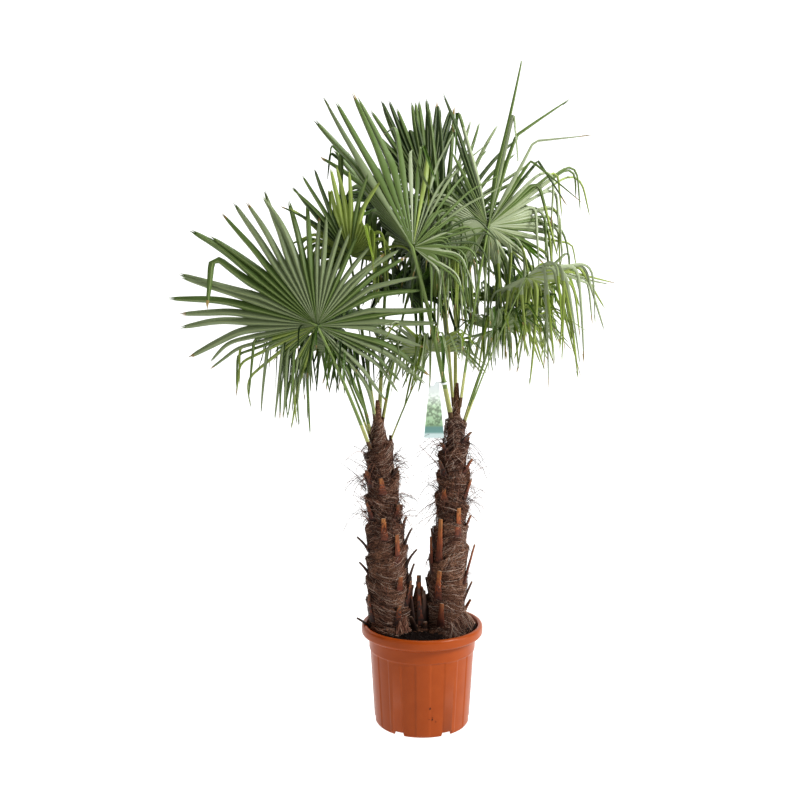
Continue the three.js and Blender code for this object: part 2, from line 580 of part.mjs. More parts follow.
function ribsOf(leaf) {
  const count = Math.round((leaf.spread[1] - leaf.spread[0]) / RIB_PITCH);
  const pitch = (leaf.spread[1] - leaf.spread[0]) / count;
  return Array.from({ length: count }, (_, i) => rib(leaf, i, pitch));
}

// The plain label hangs beside a stalk from a strap round it
function labelGeometry() {
  const leaf = LEAVES.find((l) => l.name === LABEL.leaf);
  const curve = stalkCurve(leaf);
  const rise = LABEL.strapHeight / 2 / curve.getLength();
  const band = (grow, stretch) =>
    solidOf(tube([-stretch, stretch].map((k) => stalkRing(curve, LABEL.at + k * rise, grow))));
  const strap = band(GAP + LABEL.strapWall, 1).subtract(band(GAP, 1.5));
  const centre = curve.getPoint(LABEL.at);
  const [t, f] = [LABEL.topWidth / 2, LABEL.footWidth / 2];
  const outline = new THREE.Shape([
    [-t, 0], [-f, -LABEL.height], [f, -LABEL.height], [t, 0], [t, LABEL.neck],
    [LABEL.tabTop, LABEL.neck], [LABEL.tabFoot, 0],
  ].map(([x, z]) => new THREE.Vector2(centre.x - LABEL.aside + x, centre.z - LABEL.hang * LABEL.neck + z)));
  const card = new THREE.ExtrudeGeometry(outline, { depth: LABEL.thickness, bevelEnabled: false });
  card.rotateX(Math.PI / 2).translate(0, centre.y + LABEL.thickness / 2, 0);
  const reach = LABEL.aside - LABEL.linkShort;
  const link = new THREE.BoxGeometry(reach, LABEL.linkThickness, LABEL.linkHeight)
    .translate(centre.x - reach / 2, centre.y, centre.z);
  return geometryOf(strap.add(solidOf(card)).add(solidOf(link).subtract(band(GAP, 3))));
}

const plant = new THREE.Group();
function addMesh(name, geometry, look) {
  const mesh = new THREE.Mesh(geometry, new THREE.MeshStandardMaterial(look));
  mesh.name = name;
  plant.add(mesh);
}

addMesh("pot", potGeometry(), COLOURS.pot);
addMesh("soil", soilGeometry(), COLOURS.soil);
for (const name of Object.keys(STEMS)) addMesh("stem_" + name, stemGeometry(name), COLOURS.stem);

const obstacles = plant.children.map((mesh) => ({ leaf: null, solid: solidOf(mesh.geometry) }));
for (const leaf of LEAVES) {
  const earlier = obstacles.filter((o) => o.leaf);
  const solid = earlier.reduce((rest, o) => trimmed(rest, o.solid), solidOf(stalkGeometry(leaf)));
  obstacles.push({ leaf, solid });
}
const label = labelGeometry();
addMesh("label", label, COLOURS.label);
obstacles.push({ leaf: null, solid: solidOf(label) });
const stalks = obstacles.filter((o) => o.leaf);
for (const [name, geometry] of fanGeometries(obstacles)) {
  const stalk = stalks.find((o) => o.leaf.name === name).solid;
  addMesh("stalk_" + name, geometryOf(trimmed(stalk, solidOf(geometry))), COLOURS.stalk);
  addMesh("fan_" + name, geometry, COLOURS.fan);
}

export default plant;
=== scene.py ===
# A potted windmill palm: two stems wrapped in brown fibre, each with a crown of fan leaves, in a fluted pot.
# The sections follow it from the floor up: pot, soil, stems, leaf stalks, fans, label, then the studio.
# Sizes are in millimetres and angles in degrees; azimuths turn anticlockwise from +X, seen from above.
import itertools
import math

import bpy
import numpy as np
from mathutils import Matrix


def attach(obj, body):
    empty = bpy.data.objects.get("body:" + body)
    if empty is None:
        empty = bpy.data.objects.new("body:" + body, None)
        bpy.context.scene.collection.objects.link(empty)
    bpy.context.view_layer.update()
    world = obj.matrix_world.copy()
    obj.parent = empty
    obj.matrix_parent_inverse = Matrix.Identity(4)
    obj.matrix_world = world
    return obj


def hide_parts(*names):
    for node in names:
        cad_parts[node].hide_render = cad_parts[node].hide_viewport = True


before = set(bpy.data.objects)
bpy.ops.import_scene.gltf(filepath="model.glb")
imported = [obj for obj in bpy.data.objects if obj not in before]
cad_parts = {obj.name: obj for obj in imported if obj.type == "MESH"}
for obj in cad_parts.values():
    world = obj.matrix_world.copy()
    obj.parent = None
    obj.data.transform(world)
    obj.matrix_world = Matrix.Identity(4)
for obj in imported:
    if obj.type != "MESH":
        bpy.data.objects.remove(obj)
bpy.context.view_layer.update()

# The pot
# One injection moulding in slightly glossy terracotta-coloured polypropylene, about 4 mm thick. Its outline
# is turned about the axis; eleven shallow panels are sunk in the body and six drain notches cut its foot.
POT_HEIGHT = 317
RIM_RADIUS = 190
RIM_BAND = 33
COLLAR_RADIUS = 168
COLLAR_HEIGHT = 45
BODY_TOP_RADIUS = 163
BODY_FOOT_RADIUS = 149
WALL = 4
CORNER = 3.5  # radius of the moulding's edges
FLUTES = 11
FLUTE_DEPTH = 1.8
PANEL_COLUMNS = 16  # mesh columns across one panel
FOOT_NOTCHES = 6
NOTCH = {"width": 36, "height": 13, "from_radius": 137}
PANEL_FOOT = 7  # height where the sunk panels start


def add_mesh(name, points, faces, smooth=True):
    """A mesh object from points in millimetres, shape (n, 3), and faces, shape (m, 3) or (m, 4)."""
    mesh = bpy.data.meshes.new(name)
    mesh.vertices.add(len(points))
    mesh.vertices.foreach_set("co", (points * 0.001).astype(np.float32).ravel())
    mesh.loops.add(faces.size)
    mesh.loops.foreach_set("vertex_index", faces.astype(np.int32).ravel())
    mesh.polygons.add(len(faces))
    mesh.polygons.foreach_set("loop_start", np.arange(len(faces), dtype=np.int32) * faces.shape[1])
    mesh.polygons.foreach_set("use_smooth", np.full(len(faces), smooth))
    mesh.update(calc_edges=True)
    piece = bpy.data.objects.new(name, mesh)
    bpy.context.scene.collection.objects.link(piece)
    return piece


def grid_faces(rows, columns, closed=True):
    """Quads of a grid of points stored row after row; closed joins the last column to the first."""
    r, c = np.arange(rows - 1)[:, None], np.arange(columns if closed else columns - 1)[None, :]
    a, b = r * columns + c, r * columns + (c + 1) % columns
    return np.stack([a, b, b + columns, a + columns], axis=-1).reshape(-1, 4)


def round_corners(outline, radius, steps=4):
    """Each inner corner of a line becomes a curve that starts and ends at most the radius away from it."""
    line = np.array(outline, float)
    before, corner, after = line[:-2], line[1:-1], line[2:]

    def inset(other):
        way = other - corner
        length = np.linalg.norm(way, axis=1, keepdims=True)
        return corner + way / length * np.minimum(radius, 0.45 * length)

    t = np.linspace(0, 1, steps)[None, :, None]
    start, end = inset(before)[:, None], inset(after)[:, None]
    curve = (1 - t) ** 2 * start + 2 * t * (1 - t) * corner[:, None] + t**2 * end
    return np.vstack([line[:1], curve.reshape(-1, 2), line[-1:]])


def add_node(tree, kind, inputs=None, **settings):
    """A shader node. settings are its own attributes; inputs maps a socket's name or number to its value."""
    node = tree.nodes.new(kind)
    for key, value in settings.items():
        setattr(node, key, value)
    for key, value in (inputs or {}).items():
        if isinstance(value, bpy.types.NodeSocket):
            tree.links.new(value, node.inputs[key])
        else:
            node.inputs[key].default_value = value
    return node


def linear(colour):
    """An sRGB hex colour as linear red, green, blue and alpha."""
    parts = np.array([int(colour[i : i + 2], 16) / 255 for i in (0, 2, 4)])
    return (*np.where(parts <= 0.04045, parts / 12.92, ((parts + 0.055) / 1.055) ** 2.4), 1.0)


def new_material(name, **inputs):
    """A material with its node tree and its Principled shader, whose inputs are given with _ for a space."""
    material = bpy.data.materials.new(name)
    material.use_nodes = True
    tree = material.node_tree
    shader = tree.nodes["Principled BSDF"]
    for key, value in inputs.items():
        shader.inputs[key.replace("_", " ")].default_value = value
    return material, tree, shader


def grained(name, colour, roughness, stretch=1.0, darkest=0.6, lightest=1.3):
    """A material whose colour is multiplied by 2 mm noise, drawn out upwards where the stretch is below 1."""
    material, tree, shader = new_material(name, Roughness=roughness, IOR=1.45)
    coordinates = add_node(tree, "ShaderNodeTexCoord").outputs["Object"]
    drawn = add_node(tree, "ShaderNodeMapping", {"Vector": coordinates, "Scale": (1.0, 1.0, stretch)})
    grain = add_node(tree, "ShaderNodeTexNoise", {"Vector": drawn.outputs[0], "Scale": 520.0, "Detail": 3.0})
    spread = add_node(tree, "ShaderNodeMapRange",
                      {0: grain.outputs["Fac"], 1: 0.35, 2: 0.65, 3: darkest, 4: lightest})
    mixed = add_node(tree, "ShaderNodeMix", {0: 1.0, 6: linear(colour), 7: spread.outputs[0]},
                     data_type="RGBA", blend_type="MULTIPLY")
    tree.links.new(mixed.outputs[2], shader.inputs["Base Color"])
    return material


band_foot = POT_HEIGHT - RIM_BAND
collar_foot = band_foot - COLLAR_HEIGHT
# Radius and height from the middle of the underside, up the outside, over the rim and down the inside
pot_outline = round_corners(
    [
        (0, 0), (112, 0), (116, 12), (136, 12), (138, 0), (BODY_FOOT_RADIUS - 5, 0), (BODY_FOOT_RADIUS, 9),
        (BODY_TOP_RADIUS, collar_foot - 5), (COLLAR_RADIUS - 2, collar_foot), (COLLAR_RADIUS, band_foot - 3),
        (RIM_RADIUS - 5, band_foot), (RIM_RADIUS, band_foot + 6), (RIM_RADIUS, POT_HEIGHT - 7),
        (RIM_RADIUS - 4, POT_HEIGHT), (RIM_RADIUS - 13, POT_HEIGHT), (RIM_RADIUS - 16, POT_HEIGHT - 5),
        (RIM_RADIUS - 16, band_foot + 5), (COLLAR_RADIUS - WALL, band_foot - 2),
        (COLLAR_RADIUS - WALL - 3, collar_foot), (BODY_TOP_RADIUS - WALL - 2, collar_foot - 6),
        (BODY_FOOT_RADIUS - WALL - 2, 22), (138, 16), (114, 16), (110, WALL), (0, WALL),
    ],
    CORNER,
)
pot_columns = 2 * FLUTES * PANEL_COLUMNS
azimuth = (np.arange(pot_columns) + 0.5) / pot_columns * 2 * np.pi
r, z = pot_outline[:, :1], pot_outline[:, 1:]
# The body's outer side is the part of the outline within 2.5 mm of a line from its foot to its top
outside = r > np.interp(z, [PANEL_FOOT, collar_foot - 5], [BODY_FOOT_RADIUS, BODY_TOP_RADIUS]) - 2.5
on_body = outside & (z > PANEL_FOOT) & (z < collar_foot - 2)
sunk_panel = np.floor(azimuth * 2 * FLUTES / (2 * np.pi)) % 2
radius = r - FLUTE_DEPTH * on_body * sunk_panel
spacing = 2 * np.pi / FOOT_NOTCHES
from_notch = np.abs((azimuth + spacing / 2) % spacing - spacing / 2) * BODY_FOOT_RADIUS
in_notch = (from_notch < NOTCH["width"] / 2) & (r > NOTCH["from_radius"])
height = np.where(in_notch, np.maximum(z, NOTCH["height"]), z)
points = np.stack([radius * np.cos(azimuth), radius * np.sin(azimuth), height + 0 * azimuth], axis=-1)
pot = add_mesh("pot_shell", points.reshape(-1, 3), grid_faces(len(pot_outline), pot_columns))

# Moulded polypropylene: an even colour with a faint 36 mm mottle, and a 2.4 mm grain that softens its gloss
material, tree, shader = new_material("terracotta_plastic", Roughness=0.32, IOR=1.49, Specular_IOR_Level=0.25)
coordinates = add_node(tree, "ShaderNodeTexCoord").outputs["Object"]
mottle = add_node(tree, "ShaderNodeTexNoise", {"Vector": coordinates, "Scale": 28.0, "Detail": 3.0})
tint = add_node(tree, "ShaderNodeMix", {0: mottle.outputs["Fac"], 6: linear("96430f"), 7: linear("a34e19")},
                data_type="RGBA")
tree.links.new(tint.outputs[2], shader.inputs["Base Color"])
grain = add_node(tree, "ShaderNodeTexNoise", {"Vector": coordinates, "Scale": 420.0, "Detail": 2.0})
bump = add_node(tree, "ShaderNodeBump",
                {"Height": grain.outputs["Fac"], "Strength": 0.08, "Distance": 0.0004})
tree.links.new(bump.outputs["Normal"], shader.inputs["Normal"])
pot.data.materials.append(material)
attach(pot, "root")
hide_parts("pot")

# The soil
# Moist potting compost of peat and bark, heaped a little round the stems, with loose crumbs on top. It is a
# closed body whose top is lifted by noise; the crumbs are small stones of twenty faces each.
SOIL_LEVEL = 294
SOIL_RADIUS = 171
SOIL_RINGS = 70
SOIL_COLUMNS = 240
LUMPS = [(9, 38, 1), (6, 11, 2), (3, 4.5, 3)]  # height, size and seed
MOUNDS = [(135, -30, 62, 46), (-5, 60, 80, 40)]  # x, y, radius and height
CRUMBS = 1100
CRUMB_SIZE = (1.2, 4.6)
POT_CRUMBS = [(278, 96, 3.2), (277, 62, 1.8), (281, 66, 1.4), (281, 60, 2.4), (264, 41, 2.0), (271, 44, 1.3),
              (285, 52, 1.5)]  # soil stuck to the front of the pot: azimuth, height and size
ICOSAHEDRON_FACES = [
    (0, 11, 5), (0, 5, 1), (0, 1, 7), (0, 7, 10), (0, 10, 11), (1, 5, 9), (5, 11, 4), (11, 10, 2),
    (10, 7, 6), (7, 1, 8), (3, 9, 4), (3, 4, 2), (3, 2, 6), (3, 6, 8), (3, 8, 9), (4, 9, 5),
    (2, 4, 11), (6, 2, 10), (8, 6, 7), (9, 8, 1),
]


def dice(i, seed):
    """A number from 0 to 1 that depends only on its two arguments, for whole arrays."""
    value = np.sin(np.asarray(i) * 12.9898 + seed * 78.233) * 43758.5453
    return value - np.floor(value)


def noise(points, size, seed):
    """Smooth random values from 0 to 1: hashed corners of cells of the given size, eased in between."""
    cell = points / size
    low = np.floor(cell)
    share = cell - low
    share = share * share * (3 - 2 * share)
    total = np.zeros(points.shape[:-1])
    for corner in itertools.product((0, 1), repeat=3):
        value = dice((low + corner) @ np.array([1.0, 57.0, 113.0]), seed)
        total += value * np.prod(np.where(corner, share, 1 - share), axis=-1)
    return total


def soil_height(x, y):
    """Height of the soil's top: the level, lumps of three sizes, and each mound as a bell."""
    flat = np.stack([x, y, 0 * x], axis=-1)
    lumps = sum(high * (noise(flat, size, seed) - 0.5) for high, size, seed in LUMPS)
    for middle_x, middle_y, wide, high in MOUNDS:
        lumps = lumps + high * np.exp(-2 * ((x - middle_x) ** 2 + (y - middle_y) ** 2) / wide**2)
    return SOIL_LEVEL + lumps


# Radius and height of the sides, which follow the pot's inside
soil_side = np.array([(0, 4.5), (107, 4.5), (111, 16.5), (136, 16.5), (141, 23), (155, 233), (160, 240),
                      (163, 282), (SOIL_RADIUS, 289)])
azimuth = np.arange(SOIL_COLUMNS) / SOIL_COLUMNS * 2 * np.pi
ring_radius = np.concatenate([soil_side[:, 0], np.linspace(SOIL_RADIUS, 0, SOIL_RINGS)])[:, None]
x, y = ring_radius * np.cos(azimuth), ring_radius * np.sin(azimuth)
top = soil_height(x[len(soil_side) :], y[len(soil_side) :])
height = np.vstack([np.repeat(soil_side[:, 1:], SOIL_COLUMNS, axis=1), top])
soil = add_mesh("soil_heap", np.stack([x, y, height], axis=-1).reshape(-1, 3),
                grid_faces(len(ring_radius), SOIL_COLUMNS))


def stones(places, sizes):
    """Icosahedra at the places, each stretched three ways and with its corners pushed in or out."""
    g = (1 + 5**0.5) / 2  # the golden ratio places the twelve corners
    stone = np.array([(-1, g, 0), (1, g, 0), (-1, -g, 0), (1, -g, 0), (0, -1, g), (0, 1, g), (0, -1, -g),
                      (0, 1, -g), (g, 0, -1), (g, 0, 1), (-g, 0, -1), (-g, 0, 1)]) / math.hypot(1, g)
    which = np.arange(len(places))
    stretch = 0.55 + 0.8 * dice(3 * which[:, None] + np.arange(3), 14)
    jitter = 0.8 + 0.4 * dice(12 * which[:, None] + np.arange(12), 15)
    points = places[:, None] + stone * jitter[..., None] * (sizes[:, None] * stretch)[:, None]
    faces = np.array(ICOSAHEDRON_FACES) + 12 * which[:, None, None]
    return points.reshape(-1, 3), faces.reshape(-1, 3)


which = np.arange(CRUMBS)
spread = (SOIL_RADIUS - 5) * np.sqrt(dice(which, 11))
around = 2 * np.pi * dice(which, 12)
size = CRUMB_SIZE[0] + (CRUMB_SIZE[1] - CRUMB_SIZE[0]) * dice(which, 13) ** 3
x, y = spread * np.cos(around), spread * np.sin(around)
place = np.stack([x, y, soil_height(x, y) + 0.3 * size], axis=-1)
crumbs = add_mesh("soil_crumbs", *stones(place, size), smooth=False)

azimuth, z, size = np.array(POT_CRUMBS, float).T
r = np.interp(z, [9, collar_foot - 5], [BODY_FOOT_RADIUS, BODY_TOP_RADIUS]) - FLUTE_DEPTH / 2
place = np.stack([r * np.cos(np.radians(azimuth)), r * np.sin(np.radians(azimuth)), z], axis=-1)
spots = add_mesh("pot_crumbs", *stones(place, size), smooth=False)
# Dried splashes: matt red-brown grains that hold no light
spots.data.materials.append(grained("dry_soil", "4a2413", 0.95))
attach(spots, "root")
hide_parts("pot")

# Moist peat: nearly black between its 6 mm lumps and brown on them, with no gloss
material, tree, shader = new_material("potting_soil", Roughness=0.95, IOR=1.45, Specular_IOR_Level=0.2)
coordinates = add_node(tree, "ShaderNodeTexCoord").outputs["Object"]
lumps = add_node(tree, "ShaderNodeTexNoise", {"Vector": coordinates, "Scale": 160.0, "Detail": 5.0})
shades = add_node(tree, "ShaderNodeMix", {0: lumps.outputs["Fac"], 6: linear("070403"), 7: linear("22140f")},
                  data_type="RGBA")
tree.links.new(shades.outputs[2], shader.inputs["Base Color"])
soil.data.materials.append(material)
# Crumbs of peat and bark: matt, dark brown and a little lighter than the gaps between them
crumbs.data.materials.append(grained("soil_crumb", "1e120c", 0.95))
for piece in (soil, crumbs):
    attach(piece, "root")
    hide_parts("soil")

# The stems
# Palm trunks hidden in their own leaf sheaths, each a net of brown fibre wrapped round the stem, whose ragged
# upper edge stands out over the next. The net is a relief on a tapering tube, and single fibres are thin
# tubes laid round it. Old leaves were sawn off and left short strips in orange and brown.
# axis: x of the middle by height. girth: thickness by height. sheath_foot: where the newest sheaths leave it
STEMS = {
    "left": {
        "axis": [(294, -99), (450, -105), (600, -114), (720, -122), (850, -132), (1019, -140)],
        "girth": [(294, 146), (312, 138), (432, 135), (555, 122), (650, 106), (740, 100), (868, 80),
                  (900, 55), (945, 33), (1019, 12)],
        "sheath_foot": 862,
        "seed": 31,
    },
    "right": {
        "axis": [(294, 74), (388, 75), (580, 87), (706, 92), (864, 98), (1019, 106), (1072, 106)],
        "girth": [(294, 132), (312, 121), (432, 118), (525, 113), (630, 98), (738, 91), (801, 86), (856, 79),
                  (900, 70), (931, 58), (962, 46), (1005, 27), (1072, 12)],
        "sheath_foot": 905,
        "seed": 47,
    },
}
# Stump of an offset between the two, buried in old leaf bases
STUMP = {"axis": [(294, -9), (440, -12)], "girth": [(294, 84), (350, 70), (400, 50), (425, 28), (440, 6)],
         "sheath_foot": 400, "seed": 61}
STEM_COLUMNS = 150
ROW_HEIGHT = 1.35
LOWEST_SHEATH = 300  # height of its foot
SHEATH_STEP = 82  # height between the ragged edges of two sheaths
SHEATH_RISE = [(300, 8), (600, 11), (860, 16)]  # how far an edge stands out over its sheath's foot, by height
LUMPINESS = [(6, 45, 0, 0.6), (2.4, 14, 2, 0.5)]  # depth, size, seed and middle value of the stems' lumps
WEAVE_DEPTH = 2.6
NECK = 8  # how much slimmer a stem is where the newest sheaths leave it
NEWEST = 260  # height that the newest sheaths take up
FIBRES = 8000  # fibres laid round each stem
LOOPED, CROSSING = 0.09, 0.38  # shares of them that stand off in loops, and that run steeply
TUFTS, TUFT = 64, 7  # tufts of loose fibres that stand off each stem, and the fibres in one
HIGH_TUFTS = 0.72  # share of the tufts in the newest sheaths
# Cut leaf bases that show from the front: foot height, azimuth, rise, stand-out, and shade from 0, orange,
# through 1, red-brown, to 2, dark
BASES = {
    "left": [(731, 271, 55, 8, 0.5), (591, 267, 71, 8, 0), (510, 303, 100, 8, 0.8), (422, 300, 62, 20, 1),
             (604, 336, 56, 18, 1.8), (560, 350, 60, 26, 2), (498, 342, 58, 34, 2), (658, 318, 46, 16, 1.4),
             (547, 194, 46, 30, 2), (474, 188, 38, 22, 1.8), (649, 222, 60, 14, 1.4), (753, 226, 54, 18, 1.2),
             (786, 330, 30, 14, 2), (326, 290, 66, 6, 1.5), (330, 215, 88, 5, 1.5), (300, 195, 36, 34, 2),
             (440, 338, 70, 20, 2), (380, 325, 80, 12, 1.6)],
    "right": [(888, 322, 36, 28, 1.8), (858, 228, 34, 24, 1.6), (796, 330, 44, 18, 0.8),
              (790, 226, 48, 22, 1.7), (714, 335, 62, 16, 1), (705, 236, 46, 6, 0.4), (600, 296, 92, 6, 0.2),
              (620, 344, 42, 12, 1.4), (445, 346, 124, 22, 1), (519, 232, 138, 8, 0), (478, 205, 118, 12, 1),
              (405, 240, 92, 6, 0.4), (318, 252, 78, 5, 1), (352, 196, 84, 20, 1.6), (390, 352, 60, 16, 1.8),
              (560, 200, 60, 10, 1.8)],
    "stump": [(312, 275, 158, 6, 1.5), (330, 300, 96, 16, 2), (322, 232, 120, 22, 1.9), (352, 200, 84, 30, 2),
              (336, 334, 78, 26, 2), (372, 90, 70, 12, 2), (300, 248, 52, 26, 2), (300, 292, 34, 16, 1.9)],
}
# Those on the far side follow the palm's spiral, one every golden angle
BACK_BASES = {"first": 336, "spacing": 48, "count": 11, "golden": 137.5, "azimuth": 15, "sweep": 150,
              "rise": 60, "stand_out": 14}
BASE_STRIP = {"width": 17, "thickness": 8, "sunk": 4, "lift": 3, "rows": 24, "sides": 12}
FIBRE_COLOURS = ["301a12", "583728", "825a48", "a88470", "d2bcac"]
# From the cut down to the foot, for the three shades
BASE_COLOURS = [["cdbaa4", "ad7444", "a56337", "985431", "84472b", "6d3b25", "553022"],
                ["ab9480", "8b5633", "82492b", "753f27", "673624", "562e21", "46281e"],
                ["6d5a4c", "5b4436", "503a2f", "473229", "3f2c24", "372620", "30221c"]]
ROOTS, ROOTED = 34, (288, 318)  # dry roots and torn sheath at the foot of the left stem, and their azimuths
MAT_FIBRES = 1100  # fibres that spread from the right stem's foot over the soil


def smoothstep(x, start, end):
    """0 before the start, 1 after the end, and a smooth S between them."""
    t = np.clip((x - start) / (end - start), 0, 1)
    return t * t * (3 - 2 * t)


def along(pairs, x):
    """Value at x of a line through (x, value) pairs."""
    return np.interp(x, *np.array(pairs, float).T)


def on_stem(stem, height, azimuth, away):
    """Points at a height, an azimuth in radians and a distance away from the stem's plain surface."""
    reach = along(stem["girth"], height) / 2 + away
    x = along(stem["axis"], height) + reach * np.cos(azimuth)
    return np.stack(np.broadcast_arrays(x, reach * np.sin(azimuth), height), axis=-1)


def unit(vectors):
    """The same vectors with length one."""
    return vectors / np.maximum(np.linalg.norm(vectors, axis=-1, keepdims=True), 1e-9)


def tubes(paths, across, thick, hint, sides):
    """Points and faces of tubes round many paths, shape (n, k, 3). A ring is an ellipse whose half-sizes are
    across, along the hint made square to the path, and thick, along the third way; both have shape (n, k)."""
    way = unit(np.gradient(paths, axis=1))
    side = unit(hint - np.sum(hint * way, axis=-1, keepdims=True) * way)
    third = np.cross(way, side)
    turn = np.arange(sides) / sides * 2 * np.pi
    ring = across[..., None, None] * np.cos(turn)[:, None] * side[:, :, None]
    ring = ring + thick[..., None, None] * np.sin(turn)[:, None] * third[:, :, None] + paths[:, :, None]
    count, length = paths.shape[:2]
    faces = grid_faces(length, sides)[None] + (np.arange(count) * length * sides)[:, None, None]
    return ring.reshape(-1, 3), faces.reshape(-1, 4)


def deal(piece, materials, numbers):
    """Gives a piece its materials, with one number for each face."""
    for material in materials:
        piece.data.materials.append(material)
    piece.data.polygons.foreach_set("material_index", numbers.astype(np.int32))


def sheath_wave(stem, height, azimuth):
    """How far the edge of a sheath dips and climbs round the stem, as a share of the step between two."""
    return 0.24 * np.sin(azimuth + 0.02 * height) + 0.06 * np.sin(3 * azimuth + stem["seed"])


def sheath_relief(stem, height, azimuth):
    """How far a point stands out: each sheath swells from its foot to its edge, most just below the edge."""
    place = (height - LOWEST_SHEATH) / SHEATH_STEP + sheath_wave(stem, height, azimuth)
    place = place + 0.1 * noise(np.stack(np.broadcast_arrays(9 * azimuth, place // 1, 0), axis=-1), 1, 5)
    return along(SHEATH_RISE, height) * ((place % 1) ** 2.4 - 0.38)


def bark(stem):
    """The wrapped stem: on the plain tube, each sheath swells to its edge, with lumps and a fine weave."""
    top = stem["girth"][-1][0]
    rows = round((top - SOIL_LEVEL) / ROW_HEIGHT)
    height = np.linspace(SOIL_LEVEL - 3, top, rows)[:, None]
    azimuth = (np.arange(STEM_COLUMNS) / STEM_COLUMNS * 2 * np.pi)[None]
    flat = on_stem(stem, height, azimuth, 0)
    weave = noise(flat * (1, 1, 1.8), 5, stem["seed"]) + noise(flat * (1, 1, 3.5), 2.6, stem["seed"] + 1)
    relief = sheath_relief(stem, height, azimuth) + WEAVE_DEPTH * (weave - 1)
    for depth, size, seed, middle in LUMPINESS:
        relief = relief + depth * (noise(flat, size, stem["seed"] + seed) - middle)
    slim = smoothstep(along(stem["girth"], height), 8, 80)
    neck = NECK * smoothstep(height, stem["sheath_foot"] - 70, stem["sheath_foot"])
    points = on_stem(stem, height, azimuth, (relief - neck) * (0.12 + 0.88 * slim))
    return points.reshape(-1, 3), grid_faces(rows, STEM_COLUMNS)


def draws(which, seed):
    """A function that gives each item a random number from 0 to 1, a new one for each number it is given."""
    return lambda number: dice(which, seed + number)


def fibres(stem, which):
    """Single fibres laid on the net, by number: most run beside their sheath's edge, some cross it, and some
    high up stand off in loops; all bow a little."""
    chance = draws(which, stem["seed"])
    share = np.linspace(0, 1, 7)[None]
    foot = LOWEST_SHEATH + (stem["sheath_foot"] + 60 - LOWEST_SHEATH) * chance(3)
    loop = (chance(11) < LOOPED) & (foot > stem["sheath_foot"] - NEWEST)
    crossing = (chance(4) > 1 - CROSSING) | loop
    steep = np.where(crossing, 1.5, 0.3) * (2 * chance(5) - 1)
    length = np.where(crossing, 14, 26) + np.where(crossing & ~loop, 26, 80) * chance(6) ** 2
    start = 2 * np.pi * chance(7)
    bow = 9 * (chance(8) - 0.5) * np.sin(np.pi * share)
    turn = length * share * np.cos(steep) / (along(stem["girth"], foot) / 2)
    azimuth = start + turn
    dip = SHEATH_STEP * (sheath_wave(stem, foot, azimuth) - sheath_wave(stem, foot, start))
    height = foot + length * share * np.sin(steep) + bow - dip
    lift = sheath_relief(stem, height, azimuth) + 0.6
    lift = lift + np.where(loop, 11, 2.6) * chance(9) * np.sin(np.pi * share)
    paths = on_stem(stem, height, azimuth, lift * np.minimum(1, along(stem["girth"], height) / 60))
    half = (0.25 + 0.32 * chance(10) ** 2) * np.where(loop, 1.5, 1)
    half = half * np.sin(np.pi * np.clip(share, 0.06, 0.94)) ** 0.4
    return tubes(paths, half, half, np.array([0.3, 0.2, 1.0]), 3)


def hairs(stem):
    """Loose fibres in tufts at the edges of the sheaths: each leaves the stem outwards and upwards, curls
    sideways, and sags with the square of its length."""
    which = np.arange(TUFTS * TUFT)[:, None]
    chance, shared = draws(which, stem["seed"]), draws(which // TUFT, stem["seed"])
    share = np.linspace(0, 1, 9)[None]
    high = shared(13) < HIGH_TUFTS
    top = stem["sheath_foot"] + 15
    height = np.where(high, top - NEWEST * shared(14) ** 1.1, 330 + (top - 330) * shared(14))
    height = height + 18 * (chance(12) - 0.5)
    azimuth = 2 * np.pi * shared(15) + 0.5 * (chance(24) - 0.5)
    length = np.where(high, 18 + 96 * chance(16) ** 1.8, 8 + 24 * chance(16))
    sweep = 1.5 * (shared(17) - 0.5) * share + 1.6 * (chance(23) - 0.5) * share**2
    climb = 1.5 * shared(18) - 0.35 + 0.7 * (chance(22) - 0.5)
    rise = length * (climb * share - (0.3 + 0.7 * chance(25)) * share**2)
    at = on_stem(stem, height + 0 * share, azimuth + 0 * share, 2.0)
    out = azimuth + sweep
    away = (length * share * 0.85)[..., None] * np.stack([np.cos(out), np.sin(out), 0 * out], axis=-1)
    paths = at + away + np.stack([0 * rise, 0 * rise, rise], axis=-1)
    half = (0.55 + 0.5 * chance(19)) * (1.1 - 0.6 * share)
    return tubes(paths, half, half, np.array([0.1, 0.2, 1.0]), 3)


def back_bases(stem):
    """The bases on the far side, with the same five numbers as those in front."""
    which = np.arange(BACK_BASES["count"])
    return np.stack(
        [BACK_BASES["first"] + BACK_BASES["spacing"] * which + 20 * dice(which, stem["sheath_foot"]),
         BACK_BASES["azimuth"] + (which * BACK_BASES["golden"]) % BACK_BASES["sweep"],
         BACK_BASES["rise"] * (0.7 + 0.7 * dice(which, 5)),
         BACK_BASES["stand_out"] * (0.6 + dice(which, 9)), 2 * dice(which, 8) ** 0.6], axis=1)


